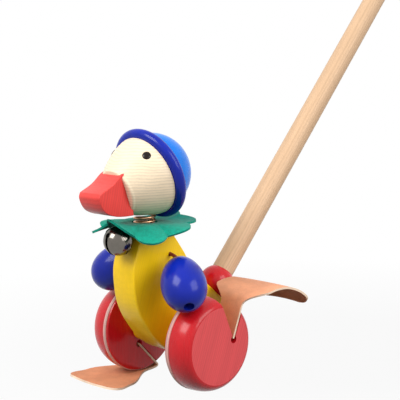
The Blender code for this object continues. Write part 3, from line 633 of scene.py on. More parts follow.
def film_group():
    """The unevenness of a brushed or sprayed film: long soft waves and small specks."""
    name = "lacquer_film"
    if name in bpy.data.node_groups:
        return bpy.data.node_groups[name]
    inner, given, out = new_group(
        name,
        (("Vector", "NodeSocketVector", None),),
        (("Height", "NodeSocketFloat"), ("Roughness", "NodeSocketFloat")),
    )
    waves = inner.noise(given["Vector"], 140.0, 2.0)
    specks = inner.noise(given["Vector"], 900.0, 3.0)
    inner.put(inner.sum("ADD", waves, inner.sum("MULTIPLY", specks, 0.12)), out["Height"])
    inner.put(inner.spread(waves, 0.3, 0.7, -0.03, 0.05), out["Roughness"])
    return inner.tree


def start_finish(name):
    material = bpy.data.materials.new(name)
    material.use_nodes = True
    nodes = Nodes(material.node_tree)
    return material, nodes, material.node_tree.nodes["Principled BSDF"].inputs


def add_bump(nodes, shader, height, strength, distance):
    values = {"Height": height, "Strength": strength, "Distance": distance}
    nodes.put(nodes.add("ShaderNodeBump", values).outputs["Normal"], shader["Normal"])


def shade(colour, factor):
    return (*[min(c * factor, 1.0) for c in colour], 1.0)


def mottled(nodes, value, colour, darkest, palest, low=0.3, high=0.7):
    """A colour that drifts between a darker and a paler shade of itself with the value."""
    return nodes.mix(nodes.spread(value, low, high), shade(colour, darkest), shade(colour, palest))


# Each wood: its colour, its pale and dark shades, the strength of bands, flecks and growth lines,
# its roughness, the turn about X that brings the grain to +Z, its clear coat and the grain's depth in metres.
WOODS = {
    "yellow_board": ("yellow", 1.0, 0.82, (0.5, 0.15, 0.15), 0.34, 0.3, 0.15, 0.00006),
    "red_turned": ("red", 1.0, 0.72, (0.5, 0.2, 0.15), 0.24, 0.0, 0.2, 0.00006),
    # Outer wheel faces: a paler red that is partly thinner stain and partly painted reflection.
    "red_sawn": ("red_face_and_reflection", 1.08, 0.8, (0.55, 0.4, 0.35), 0.46, 0.35, 0.0, 0.00012),
    "red_beak": ("coral", 1.05, 0.8, (0.45, 0.3, 0.45), 0.38, 0.2, 0.1, 0.00006),
    "bare_maple": ("maple", 1.08, 0.8, (0.4, 0.25, 0.6), 0.44, math.pi / 2, 0.1, 0.00006),
    "bare_beech": ("beech", 1.08, 0.74, (0.45, 0.55, 0.3), 0.48, math.pi / 2 - STICK_SLOPE, 0.0, 0.0001),
}


def wooden(name, colours):
    """Wood with its grain, stained, oiled or under a clear coat."""
    tint_name, pale, dark, grain_look, roughness, turn, coat, relief = WOODS[name]
    colour = getattr(colours, tint_name)
    material, nodes, shader = start_finish(name)
    vector = nodes.coordinates((turn, 0, 0))
    grain = nodes.add("ShaderNodeGroup", node_tree=wood_grain_group())
    given = {"Vector": vector, "Pale": shade(colour, pale), "Dark": shade(colour, dark)}
    given.update(zip(("Contrast", "Flecks", "Lines"), grain_look))
    for key, value in given.items():
        nodes.put(value, grain.inputs[key])
    nodes.put(grain.outputs["Color"], shader["Base Color"])
    nodes.put(nodes.sum("ADD", grain.outputs["Roughness"], roughness), shader["Roughness"])
    shader["Specular IOR Level"].default_value = 0.22
    shader["Coat Weight"].default_value = coat
    shader["Coat Roughness"].default_value = 0.12
    add_bump(nodes, shader, grain.outputs["Height"], 0.5, relief)
    return material


def lacquered(name, colour, roughness):
    """An opaque gloss lacquer with a soft film and a faint change of tone."""
    material, nodes, shader = start_finish(name)
    vector = nodes.coordinates()
    film = nodes.add("ShaderNodeGroup", node_tree=film_group())
    nodes.put(vector, film.inputs["Vector"])
    nodes.put(mottled(nodes, nodes.noise(vector, 60.0, 3.0), colour, 0.86, 1.12), shader["Base Color"])
    nodes.put(nodes.sum("ADD", film.outputs["Roughness"], roughness), shader["Roughness"])
    shader["Specular IOR Level"].default_value = 0.18
    shader["Coat Weight"].default_value = 0.12
    shader["Coat Roughness"].default_value = 0.06
    add_bump(nodes, shader, film.outputs["Height"], 0.12, 0.0004)
    return material


def leathern(name, colour, pore, roughness):
    """Leather: pores, fine creases and clouded tan."""
    material, nodes, shader = start_finish(name)
    vector = nodes.coordinates()
    pores = nodes.add("ShaderNodeTexVoronoi", {"Vector": vector, "Scale": pore}).outputs["Distance"]
    creases = nodes.noise(vector, 260.0, 5.0, 0.65)
    clouds = nodes.noise(vector, 55.0, 4.0, 0.6)
    tone = mottled(nodes, clouds, colour, 0.84, 1.14, 0.32, 0.68)
    dimple = nodes.spread(pores, 0.0, 0.4)
    dark = nodes.spread(dimple, 0.0, 1.0, 0.4, 0.0)
    nodes.put(nodes.mix(dark, tone, shade(colour, 0.7)), shader["Base Color"])
    nodes.put(nodes.spread(creases, 0.3, 0.7, roughness - 0.08, roughness + 0.08), shader["Roughness"])
    height = nodes.sum("ADD", nodes.sum("MULTIPLY", dimple, 0.6), creases)
    add_bump(nodes, shader, height, 0.45, 0.0003)
    return material


def felted(name, colour):
    """Felt: a mat of short fibres with a soft sheen."""
    material, nodes, shader = start_finish(name)
    vector = nodes.coordinates()
    fibres = nodes.noise(vector, 1500.0, 6.0, 0.75)
    tufts = nodes.noise(vector, 330.0, 4.0, 0.65)
    both = nodes.sum("ADD", nodes.sum("MULTIPLY", fibres, 0.6), nodes.sum("MULTIPLY", tufts, 0.4))
    nodes.put(mottled(nodes, both, colour, 0.62, 1.4, 0.35, 0.65), shader["Base Color"])
    nodes.put(nodes.spread(tufts, 0.3, 0.7, 0.86, 1.0), shader["Roughness"])
    shader["Sheen Weight"].default_value = 0.12
    shader["Sheen Roughness"].default_value = 0.5
    shader["Specular IOR Level"].default_value = 0.15
    add_bump(nodes, shader, both, 0.7, 0.0005)
    return material


def metal(name, colour, roughness):
    """Plated metal with faint handling marks."""
    material, nodes, shader = start_finish(name)
    vector = nodes.coordinates()
    marks = nodes.noise(vector, 240.0, 5.0, 0.6)
    nodes.put(mottled(nodes, marks, colour, 0.9, 1.06), shader["Base Color"])
    nodes.put(nodes.spread(marks, 0.3, 0.7, roughness, roughness + 0.1), shader["Roughness"])
    shader["Metallic"].default_value = 1.0
    return material


def tyre_rubber(colours):
    """Rubber with a moulded line round the middle of the tread."""
    material, nodes, shader = start_finish("tyre_rubber")
    source = nodes.add("ShaderNodeTexCoord").outputs["Object"]
    across = nodes.add("ShaderNodeSeparateXYZ", {0: source}).outputs["X"]
    inner = WHEEL_INNER_X + TYRE_FROM
    from_middle = nodes.sum("ABSOLUTE", nodes.sum("SUBTRACT", across, AXLE.x), 0.0)
    off_line = nodes.sum("ABSOLUTE", nodes.sum("SUBTRACT", from_middle, inner + TYRE_LINE_AT), 0.0)
    line = nodes.spread(off_line, TYRE_LINE_HALF, TYRE_LINE_FADED, 0.85, 0.0)
    dust = nodes.noise(source, 420.0, 5.0, 0.65)
    # The tyre's pink is partly the rubber's own tint and partly a painted red reflection from the wheel.
    tone = mottled(nodes, dust, colours.rubber, 0.88, 1.08)
    nodes.put(nodes.mix(line, tone, shade(colours.rubber_line, 1.0)), shader["Base Color"])
    nodes.put(nodes.spread(dust, 0.3, 0.7, 0.55, 0.75), shader["Roughness"])
    add_bump(nodes, shader, nodes.sum("SUBTRACT", dust, line), 0.3, 0.0002)
    return material


def twisted_cord(colour):
    """Cord of twisted yarn."""
    material, nodes, shader = start_finish("twisted_cord")
    vector = nodes.coordinates((0.6, 0.5, 0.0))
    strands = nodes.add(
        "ShaderNodeTexWave", {"Vector": vector, "Scale": 420.0, "Distortion": 1.5, "Detail": 2.0}
    ).outputs["Fac"]
    fuzz = nodes.noise(vector, 1800.0, 4.0, 0.7)
    nodes.put(nodes.mix(strands, shade(colour, 0.6), shade(colour, 1.35)), shader["Base Color"])
    nodes.put(nodes.spread(fuzz, 0.3, 0.7, 0.8, 1.0), shader["Roughness"])
    add_bump(nodes, shader, nodes.sum("ADD", strands, nodes.sum("MULTIPLY", fuzz, 0.3)), 0.7, 0.0003)
    return material


def finish_for(context, name):
    """The named finish, made on first use."""
    if name in bpy.data.materials:
        return bpy.data.materials[name]
    c = context.scene.duck_colours
    if name in WOODS:
        return wooden(name, c)
    makers = {
        "dark_blue": lambda: lacquered(name, c.blue, 0.22),
        "light_blue": lambda: lacquered(name, c.sky, 0.24),
        "eye_stain": lambda: lacquered(name, c.eye, 0.2),
        "tyre_rubber": lambda: tyre_rubber(c),
        "leather_grain": lambda: leathern(name, c.leather, 700.0, 0.62),
        "leather_edge": lambda: leathern(name, c.leather_edge, 1500.0, 0.85),
        "leather_flesh": lambda: leathern(name, c.leather_back, 1400.0, 0.9),
        "collar_mat": lambda: felted(name, c.felt),
        # The nickel's dark colour is a painted dark reflection.
        "nickel_plate": lambda: metal(name, c.nickel, 0.12),
        "copper_wire": lambda: metal(name, c.copper, 0.26),
        "twisted_cord": lambda: twisted_cord(c.cord),
    }
    return makers[name]()


def half_ball_length(sizes):
    """Half the tail ball's length along its bore."""
    return math.sqrt(sizes.ball_radius**2 - (sizes.stick_radius + GAP) ** 2)


class DUCK_OT_body(bpy.types.Operator):
    """Saw the yellow board, round its edges and drill it"""

    bl_idname = "duck.body"
    bl_label = "Body board"

    def execute(self, context):
        sizes = context.scene.duck_sizes
        tail = BALL_AT - STICK_WAY * (half_ball_length(sizes) + 2 * GAP)
        side = Vector((0.0, -STICK_WAY.z, STICK_WAY.y)) * TAIL_HALF_WIDTH
        points = [*BODY_FRONT, (tail - side).yz[:], (tail + side).yz[:], *BODY_BACK]
        corners = (0, len(BODY_FRONT), len(BODY_FRONT) + 1, len(points) - 1)
        board = sawn("body_board", outline_path(points, corners), sizes.body_thickness)
        ease_edges(board, sizes.body_edge)
        neck = place(0, NECK_Y, BODY_TOP)
        deep = Vector((0, 0, SOCKET_DEPTH))
        cut(board, drill("neck_socket", neck - deep, neck + deep, SOCKET_RADIUS))
        for way, name in SIDES:
            mouth = AXLE + WING_HOLE * Vector((way, 1, 1))
            reach = Vector((CORD_INSIDE + GAP, 0, 0))
            cut(board, drill(f"cord_hole_{name}", mouth - reach, mouth + reach, sizes.cord_radius + GAP, 24))
        axle_reach = Vector((sizes.body_thickness, 0, 0))
        cut(board, drill("axle_hole", AXLE - axle_reach, AXLE + axle_reach, AXLE_RADIUS + GAP))
        smooth(board)
        fit(board, "body", "yellow_stain", finish_for(context, "yellow_board"), "body_plate")
        return {"FINISHED"}


class DUCK_OT_stick(bpy.types.Operator):
    """Turn the push stick and the ball at its foot"""

    bl_idname = "duck.stick"
    bl_label = "Stick and tail ball"

    def execute(self, context):
        sizes = context.scene.duck_sizes
        radius, ease = sizes.stick_radius, sizes.stick_round
        half_ball = half_ball_length(sizes)
        foot = AXLE + BALL_AT - STICK_WAY * (half_ball + 2 * GAP + STICK_SOCKET)
        end = sizes.stick_length
        top = [(radius - ease + r, h) for r, h in arc(end - ease, ease, math.pi / 2, 0, 6)]
        profile = [(0, 0), (radius - GAP, 0), (radius, GAP), (radius, end / 2), *top, (0, end)]
        stick = turned("stick_dowel", profile, frame_along(STICK_WAY, foot), sizes.turn_steps)
        fit(smooth(stick), "body", "beech", finish_for(context, "bare_beech"), "push_stick")
        bore = radius + GAP
        opening = math.acos(half_ball / sizes.ball_radius)
        skin = arc(0, sizes.ball_radius, opening, math.pi - opening, 41)
        profile = [(bore, half_ball), *skin[1:-1], (bore, -half_ball), (bore, half_ball)]
        ball = turned("tail_bead", profile, frame_along(STICK_WAY, AXLE + BALL_AT), sizes.turn_steps)
        fit(smooth(ball), "body", "red_stain", finish_for(context, "red_turned"), "tail_ball")
        return {"FINISHED"}


def slot_frame(phase, x):
    """The frame of a wheel's saw slot: +X runs out along the slot and +Z across the wheel."""
    out = Vector((0, math.cos(phase), math.sin(phase)))
    up = Vector((0, -math.sin(phase), math.cos(phase)))
    matrix = Matrix((out, up, out.cross(up))).transposed().to_4x4()
    return Matrix.Translation(place(x, 0, 0) - up * SLOT_OFFSET) @ matrix


class DUCK_OT_wheels(bpy.types.Operator):
    """Turn the wheels, spacers and tyres, and saw the slots that hold the feet"""

    bl_idname = "duck.wheels"
    bl_label = "Wheels"

    def profile(self, sizes):
        radius, flat, width = sizes.wheel_radius, sizes.wheel_flat, sizes.wheel_width
        start, rise = WHEEL_SHOULDER_START, width - WHEEL_SHOULDER_START
        shoulder = [(flat + (radius - flat) * s, start + rise * c) for c, s in quarter_round(25)]
        groove, rim, bore = radius - TYRE_DEPTH, radius - RIM_STEP, AXLE_RADIUS + GAP
        return [
            (0.0, width), (flat / 2, width), *shoulder, (radius, TYRE_TO), (groove, TYRE_TO),
            (groove, TYRE_FROM), (rim, TYRE_FROM), (rim - RIM_CHAMFER / 3, RIM_STEP),
            (rim - RIM_CHAMFER, 0.0), (bore, 0.0),
        ]

    def blade(self, sizes, slot, name):
        reach = CUT_REACH * sizes.wheel_radius
        size = (reach, sizes.slot_width, 2 * sizes.wheel_width)
        return saw_blade(name, size, slot @ Matrix.Translation((SLOT_START + reach / 2, 0, 0)))

    def notch(self, sizes, slot, name):
        """A wedge that opens the slot on one side towards the rim."""
        reach = CUT_REACH * sizes.wheel_radius
        corners = ((0, 0), (reach, 0), (reach * math.cos(NOTCH_ANGLE), reach * math.sin(NOTCH_ANGLE)))
        outline = [(slot @ Vector((SLOT_START + x, y, 0)) - AXLE).yz for x, y in corners]
        return sawn(name, outline, 4 * sizes.wheel_radius)

    def make_wheel(self, context, way, name, across, slot):
        sizes = context.scene.duck_sizes
        wheel = turned(f"wheel_turned_{name}", self.profile(sizes), across, sizes.turn_steps)
        stop = slot @ Vector((SLOT_START, 0, 0))
        wide = Vector((sizes.wheel_width, 0, 0))
        cut(wheel, self.blade(sizes, slot, "slot"))
        cut(wheel, drill("slot_hole", stop - wide, stop + wide, sizes.slot_stop, 32))
        if name == NOTCHED_WHEEL:
            cut(wheel, self.notch(sizes, slot, "notch"))
        fit(smooth(wheel), "wheels", "red_stain", finish_for(context, "red_turned"), f"wheel_{name}")
        # The outer flat faces get the paler red: partly thinner stain, partly painted reflection of the white
        # surroundings.
        wheel.data.materials.append(finish_for(context, "red_sawn"))
        for face in wheel.data.polygons:
            if way * face.normal.x > math.cos(SAWN_FACE_LEAN):
                face.material_index = 1

    def make_tyre(self, context, name, across, slot):
        sizes = context.scene.duck_sizes
        low, high = TYRE_FROM + GAP, TYRE_TO - GAP
        inner = sizes.wheel_radius - TYRE_DEPTH + GAP
        outer = sizes.wheel_radius + TYRE_PROUD
        ease = 2 * TYRE_PROUD
        band = [
            (inner, high), (outer - ease, high), (outer - ease / 4, high - ease / 4), (outer, high - ease),
            (outer, low + ease), (outer - ease / 4, low + ease / 4), (outer - ease, low), (inner, low),
            (inner, high),
        ]
        tyre = turned(f"tyre_band_{name}", band, across, sizes.turn_steps)
        cut(tyre, self.blade(sizes, slot, "tyre_gap"))
        if name == NOTCHED_WHEEL:
            cut(tyre, self.notch(sizes, slot, "tyre_notch"))
        fit(smooth(tyre), "wheels", "pale_rubber", finish_for(context, "tyre_rubber"), f"tyre_{name}")

    def make_spacer(self, context, way, name):
        sizes = context.scene.duck_sizes
        start, end = sizes.body_thickness / 2 + GAP, WHEEL_INNER_X - GAP
        thick, bore, edge, ease = end - start, AXLE_RADIUS + GAP, sizes.spacer_radius, 2 * GAP
        ring = [
            (bore, 0), (edge - ease, 0), (edge, ease), (edge, thick - ease), (edge - ease, thick),
            (bore, thick), (bore, 0),
        ]
        seat = frame_along((way, 0, 0), place(way * start, 0, 0))
        spacer = turned(f"spacer_ring_{name}", ring, seat, sizes.turn_steps // 2)
        yellow = finish_for(context, "yellow_board")
        fit(smooth(spacer), "wheels", "yellow_stain", yellow, f"axle_spacer_{name}")

    def execute(self, context):
        sizes = context.scene.duck_sizes
        for way, name in SIDES:
            across = frame_along((way, 0, 0), place(way * WHEEL_INNER_X, 0, 0))
            slot = slot_frame(SLOT_PHASE[name], way * (WHEEL_INNER_X + sizes.wheel_width / 2))
            self.make_wheel(context, way, name, across, slot)
            self.make_tyre(context, name, across, slot)
            self.make_spacer(context, way, name)
        return {"FINISHED"}


class DUCK_OT_feet(bpy.types.Operator):
    """Shape the two leather feet that slap the floor"""

    bl_idname = "duck.feet"
    bl_label = "Leather feet"

    def half_width(self, past_rim, widest, spread_over):
        """Half the foot's width past the wheel's rim: a narrow tab, a broad web and round front corners."""
        start, end = spread_over
        spread = WEB_FIRST_SPREAD * smoothstep(start, end, past_rim)
        spread += (1 - WEB_FIRST_SPREAD) * smoothstep(end, FOOT_LENGTH, past_rim)
        half = TAB_HALF_WIDTH + (widest - TAB_HALF_WIDTH) * spread
        into_corner = min(max(past_rim - (FOOT_LENGTH - FOOT_CORNER), 0.0) / FOOT_CORNER, 1.0)
        return half - FOOT_CORNER * (1 - math.sqrt(1 - into_corner**2))

    def shape(self, sizes, way, name, bends, spread_over, crown, skew):
        x = way * (WHEEL_INNER_X + sizes.wheel_width / 2)
        slot = slot_frame(SLOT_PHASE[name], x)
        inner = SLOT_START + 2 * GAP
        rim = math.sqrt(sizes.wheel_radius**2 - SLOT_OFFSET**2)
        tab = [(slot @ Vector((inner + (rim - inner) * t, 0, 0)) - AXLE).yz for t in (0, 0.33, 0.66, 1)]
        path = smooth_path((*tab, *bends), count=FOOT_ROWS)
        run = sum((b - a).length for a, b in zip(path, path[1:]))
        grid = []
        for share, point in zip(shares(FOOT_ROWS), path):
            along = run * share
            past_rim = (along - (rim - inner)) * FOOT_LENGTH / (run - (rim - inner))
            half = self.half_width(past_rim, sizes.foot_half, spread_over)
            free = smoothstep(FOOT_CORNER, FOOT_LENGTH, past_rim)
            middle = x + skew * free
            row = []
            for across in shares(FOOT_COLUMNS):
                s = 2 * across - 1
                row.append(place(middle + s * half, point.x, point.y + crown * free * s * s))
            grid.append(row)
        return sheet_from(f"foot_leather_{name}", grid), run

    def execute(self, context):
        sizes = context.scene.duck_sizes
        under = sizes.leather / 2 - AXLE.z
        sole = [(y, under + rise) for y, rise in FLAT_FOOT_SOLE]
        for way, name, bends, spread_over, crown, skew in (
            (1, "left", RAISED_FOOT, RAISED_SPREAD, RAISED_CROWN, 0.0),
            (-1, "right", (*FLAT_FOOT_HEEL, *sole), FLAT_SPREAD, FLAT_CURL, FLAT_SKEW),
        ):
            foot, run = self.shape(sizes, way, name, bends, spread_over, crown, skew)
            for finish in ("leather_grain", "leather_flesh", "leather_edge"):
                foot.data.materials.append(finish_for(context, finish))
            faces = {"material_offset": 1, "material_offset_rim": 2}
            apply_modifier(foot, "SOLIDIFY", thickness=sizes.leather, offset=0.0, **faces)
            smooth(foot, 40)
            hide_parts(f"foot_{name}")
            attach(foot, "wheels")
        return {"FINISHED"}


class DUCK_OT_neck(bpy.types.Operator):
    """Wind the neck spring, in a lower and an upper half"""

    bl_idname = "duck.neck"
    bl_label = "Neck spring"

    def execute(self, context):
        sizes = context.scene.duck_sizes
        count = SPRING_TURNS * POINTS_PER_TURN
        low, high = SPRING_LOW + sizes.spring_wire / 2, SPRING_HIGH - sizes.spring_wire / 2
        helix = []
        for i in range(count + 1):
            angle = FULL_TURN * i / POINTS_PER_TURN
            out = sizes.spring_radius
            height = low + (high - low) * i / count
            helix.append(place(out * math.cos(angle), NECK_Y + out * math.sin(angle), height))
        middle = place(0, NECK_Y, (low + high) / 2)
        bottom, top = place(0, NECK_Y, low), place(0, NECK_Y, high)
        half = count // 2
        for name, points, bodies, start, end in (
            ("spring_lower", helix[: half + 1], ("body", "neck"), bottom, middle),
            ("spring_upper", helix[half:], ("neck", "head"), middle, top),
        ):
            coil = smooth(wire(name, points, sizes.spring_wire / 2), 60)
            dress(coil, finish_for(context, "copper_wire"), ("neck_spring",))
            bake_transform(coil)
        return {"FINISHED"}


class DUCK_OT_head(bpy.types.Operator):
    """Turn the head and the cap, set the eyes and saw the beak"""

    bl_idname = "duck.head"
    bl_label = "Head, cap and beak"

    def radius_at(self, sizes, along):
        """The head's radius at a length from the brim towards the beak."""
        return sizes.head_radius * (1 - (along / HEAD_REACH) ** HEAD_FULLNESS) ** (1 / HEAD_FULLNESS)

    def skin(self, sizes, grown=0.0):
        """The head's profile from the brim to the flat that the beak sits on, its edge sanded round."""
        found = []
        shoulder = HEAD_FACE - HEAD_FACE_EDGE
        for share in shares(41):
            along = shoulder * share
            found.append((self.radius_at(sizes, along) + grown, -along))
        rim = found[-1][0] - HEAD_FACE_EDGE
        for c, s in quarter_round(9)[1:]:
            found.append((rim + HEAD_FACE_EDGE * c, -shoulder - (HEAD_FACE_EDGE + grown) * s))
        return [*found, (0, -HEAD_FACE - grown)]

    def eye_place(self, sizes, way):
        """A point on the head's skin and the way out of it."""
        round_way = Vector((way * math.sin(EYE_ROUND), math.cos(EYE_ROUND), 0.0))
        rise = self.radius_at(sizes, EYE_ALONG + GAP) - self.radius_at(sizes, EYE_ALONG - GAP)
        out = (round_way + Vector((0, 0, rise / (2 * GAP)))).normalized()
        turn = Matrix.Rotation(HEAD_TILT, 3, "X")
        local = round_way * self.radius_at(sizes, EYE_ALONG) - Vector((0, 0, EYE_ALONG))
        return AXLE + HEAD_AT + turn @ local, turn @ out

    def execute(self, context):
        sizes = context.scene.duck_sizes
        centre = AXLE + HEAD_AT
        tilted = Matrix.Translation(centre) @ Matrix.Rotation(HEAD_TILT, 4, "X")
        steps = sizes.turn_steps
        head = turned("head_turned", [(0, 0), (SPIGOT_RADIUS, 0), *self.skin(sizes)], tilted, steps)
        spring_top = place(0, NECK_Y, SPRING_HIGH + GAP)
        cut(head, drill("spring_socket", place(0, NECK_Y, SPRING_LOW), spring_top, SOCKET_RADIUS))
        self.set_eyes(context, head)
        fit(smooth(head), "head", "maple", finish_for(context, "bare_maple"), "head")
        bore, low, high = SPIGOT_RADIUS - GAP, GAP, sizes.brim_height
        roll = (high - low) / 2
        edge = [(sizes.brim_radius - roll + r, h) for r, h in arc(low + roll, roll, 0, math.pi, 25)]
        brim = turned("cap_ring", [(bore, high), *edge, (bore, low), (bore, high)], tilted, steps)
        fit(smooth(brim), "head", "blue_lacquer", finish_for(context, "dark_blue"), "cap_brim")
        base = high + GAP
        open_angle = math.acos((base - CROWN_CENTRE) / sizes.crown_radius)
        dome = arc(CROWN_CENTRE, sizes.crown_radius, 0, open_angle, 40)
        crown = turned("cap_dome", [(0, dome[0][1]), *dome[1:], (bore, base), (0, base)], tilted, steps)
        fit(smooth(crown), "head", "light_blue_lacquer", finish_for(context, "light_blue"), "cap_crown")
        self.saw_beak(context, tilted)
        return {"FINISHED"}

    def set_eyes(self, context, head):
        sizes = context.scene.duck_sizes
        for way, name in SIDES:
            at, out = self.eye_place(sizes, way)
            seat = at - out * EYE_SEAT
            r = sizes.eye_radius
            cut(head, drill(f"eye_hole_{name}", seat, seat + out * 2 * EYE_SEAT, r + GAP / 3, EYE_STEPS))
            dome = [(r * c, EYE_SEAT - GAP + EYE_RISE * s) for c, s in quarter_round(9)]
            profile = [(0, GAP / 3), (r, GAP / 3), *dome]
            eye = turned(f"eye_button_{name}", profile, frame_along(out, seat), EYE_STEPS)
            fit(smooth(eye), "head", "dark_stain", finish_for(context, "eye_stain"), f"eye_{name}")

    def saw_beak(self, context, tilted):
        sizes = context.scene.duck_sizes
        beak = sawn("beak_sawn", outline_path(BEAK_FRONT, (0, 3, len(BEAK_FRONT) - 1)), 2 * sizes.beak_half)
        ease_edges(beak, sizes.beak_edge, 40, 3)
        cut(beak, turned("beak_seat", [(0, 0), *self.skin(sizes, GAP / 3)], tilted, sizes.turn_steps))
        fit(smooth(beak), "head", "red_stain", finish_for(context, "red_beak"), "beak")


class DUCK_OT_collar(bpy.types.Operator):
    """Cut the felt collar into leaves and let it hang in folds"""

    bl_idname = "duck.collar"
    bl_label = "Felt collar"

    def lift(self, angle):
        """How far the collar's edge stands above its neck: it hangs on the left front and turns up behind."""
        turned_left = angle - COLLAR_LEFT
        swing = COLLAR_TURN_UP * math.sin(turned_left) - COLLAR_HANG * math.cos(turned_left)
        wave = COLLAR_WAVE * math.cos(2 * turned_left)
        over_bell = COLLAR_OVER_BELL * math.exp(-(((angle - COLLAR_BELL_ANGLE) / COLLAR_BELL_SPREAD) ** 2))
        return swing - wave - COLLAR_DROOP + over_bell

    def point(self, sizes, angle, share):
        round_lobes = sizes.collar_lobes * (angle - COLLAR_LOBE_PHASE) / 2
        lobe = 1 - COLLAR_LOBE_DEPTH * (1 - abs(math.cos(round_lobes)))
        reach = COLLAR_INNER + (sizes.collar_reach - COLLAR_INNER) * share * lobe
        free = max(share - COLLAR_HELD, 0.0) / (1 - COLLAR_HELD)
        fold = sizes.collar_fold * free * math.cos(round_lobes)
        rest = BODY_TOP + GAP + sizes.felt / 2 + COLLAR_CLEAR
        height = rest + self.lift(angle) * free**COLLAR_BEND + fold
        return place(reach * math.sin(angle), NECK_Y - reach * math.cos(angle), height)

    def execute(self, context):
        sizes = context.scene.duck_sizes
        count = sizes.collar_lobes * COLLAR_POINTS_PER_LOBE
        grid = []
        for share in shares(COLLAR_ROWS):
            grid.append([self.point(sizes, FULL_TURN * j / count - math.pi, share) for j in range(count)])
        collar = sheet_from("collar_felt", grid, wrap=True)
        apply_modifier(collar, "SOLIDIFY", thickness=sizes.felt, offset=0.0)
        smooth(collar, 50)
        fit(collar, "body", "green_felt", finish_for(context, "collar_mat"), "collar")
        return {"FINISHED"}


class DUCK_OT_bell(bpy.types.Operator):
    """Press the bell's two shells, roll their seam and cut the sound slot"""

    bl_idname = "duck.bell"
    bl_label = "Bell"

    def execute(self, context):
        sizes = context.scene.duck_sizes
        radius, inner, steps = sizes.bell_radius, sizes.bell_radius - sizes.bell_wall, sizes.turn_steps // 2
        at = AXLE + BELL_AT
        upright = frame_along(BELL_TOP, at)
        quarter, seam = math.pi / 2, math.asin(GAP / 2 / inner)
        lip = radius + sizes.bell_wall / 2
        outer_skin = arc(0, radius, 0, quarter - 4 * seam, 21)
        inner_skin = arc(0, inner, quarter - seam, 0, 21)
        rolled = [(lip, BELL_LIP * sizes.bell_wall), (lip, GAP / 2)]
        shell = [*outer_skin, *rolled, *inner_skin]
        upper = turned("bell_cap", shell, upright, steps)
        lower = turned("bell_bowl", [(r, -h) for r, h in shell], upright, steps)
        half = BELL_SLOT_HALF
        size = (sizes.bell_slot, 2 * radius * math.sin(half), radius)
        below = Matrix.Translation((0, 0, -radius * (0.5 + math.cos(half))))
        slot = saw_blade("bell_slot", size, upright @ below)
        ends = []
        for way in (1, -1):
            out = (upright.to_3x3() @ Vector((0, way * math.sin(half), -math.cos(half)))).normalized()
            start, end = at + out * (inner - sizes.bell_slot), at + out * (radius + sizes.bell_slot)
            ends.append(drill(f"bell_hole_{way + 1}", start, end, BELL_HOLE * sizes.bell_slot, 32))
        cut(lower, slot, *ends)
        nickel = finish_for(context, "nickel_plate")
        fit(smooth(upper), "bell", "nickel", nickel, "bell_upper_shell")
        fit(smooth(lower), "bell", "nickel", nickel, "bell_lower_shell")
        return {"FINISHED"}


class DUCK_OT_wings(bpy.types.Operator):
    """Turn the egg-shaped wings and tie them on their cords"""

    bl_idname = "duck.wings"
    bl_label = "Wings and cords"

    def profile(self, sizes):
        """The egg of a wing, from its narrow top to its mouth, then up the bore."""
        half = WING_LENGTH / 2
        skin = []
        first, last = WING_SKIN
        for share in shares(49):
            angle = first + (last - first) * share
            egg = 1 - WING_EGG * math.cos(angle)
            skin.append((sizes.wing_radius * math.sin(angle) * egg, half * math.cos(angle)))
        top, mouth, deep = skin[0][1], skin[-1][1], -WING_COUNTERBORE * half
        bore = [(WING_MOUTH, mouth), (WING_MOUTH, deep), (WING_BORE, deep), (WING_BORE, top)]
        return [(WING_BORE, top), *skin, *bore]

    def knot(self, name, sizes, at):
        """A small overhand knot."""
        scale = (sizes.knot_radius - sizes.cord_radius) / 3
        points = []
        for i in range(CORD_POINTS):
            t = FULL_TURN * i / CORD_POINTS
            across, along = math.sin(t) + 2 * math.sin(2 * t), math.cos(t) - 2 * math.cos(2 * t)
            points.append(at + Vector((across, along, -math.sin(3 * t))) * scale)
        return wire(name, points, sizes.cord_radius, cyclic=True)

    def execute(self, context):
        sizes = context.scene.duck_sizes
        half = WING_LENGTH / 2
        cord_finish = finish_for(context, "twisted_cord")
        for way, name in SIDES:
            flip = Vector((way, 1, 1))
            hole = AXLE + WING_HOLE * flip
            at = AXLE + WING_AT[name] * flip
            axis = WING_WAY * flip
            egg = turned(f"wing_egg_{name}", self.profile(sizes), frame_along(axis, at), sizes.turn_steps)
            fit(smooth(egg), f"wing_{name}", "blue_lacquer", finish_for(context, "dark_blue"), f"wing_{name}")
            knot_at = at - axis * (half * WING_COUNTERBORE + sizes.knot_radius + 3 * GAP)
            out = Vector((way, 0, 0))
            arch = [hole + out * reach + Vector((0, 0, rise)) for reach, rise in CORD_ARCH]
            above, within = at + axis * (half + WING_BORE), at + axis * (half - sizes.cord_radius)
            end = knot_at + axis * (sizes.knot_radius + GAP)
            route = [hole - out * CORD_INSIDE, *arch, above, within, at, end]
            line = smooth_path(route, count=CORD_POINTS)
            cord = smooth(wire(f"cord_twist_{name}", line, sizes.cord_radius), 60)
            dress(cord, cord_finish, (f"wing_cord_{name}",))
            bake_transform(cord)
            knot = smooth(self.knot(f"cord_knot_{name}", sizes, knot_at), 60)
            fit(knot, f"wing_{name}", "red_cord", cord_finish, f"wing_knot_{name}")
        return {"FINISHED"}


class DUCK_OT_inner_parts(bpy.types.Operator):
    """Finish the solids that stay as they are: pegs, dowels, axle, pellet and small wires"""

    bl_idname = "duck.inner_parts"
    bl_label = "Inner parts"

    def execute(self, context):
        for finish, names in (
            ("bare_beech", ("axle", "neck_peg", "head_peg", "beak_dowel")),
            ("nickel_plate", ("bell_loop", "bell_staple", "bell_pellet")),
        ):
            for name in names:
                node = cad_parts[name]
                node.data.materials.clear()
                node.data.materials.append(finish_for(context, finish))
        return {"FINISHED"}


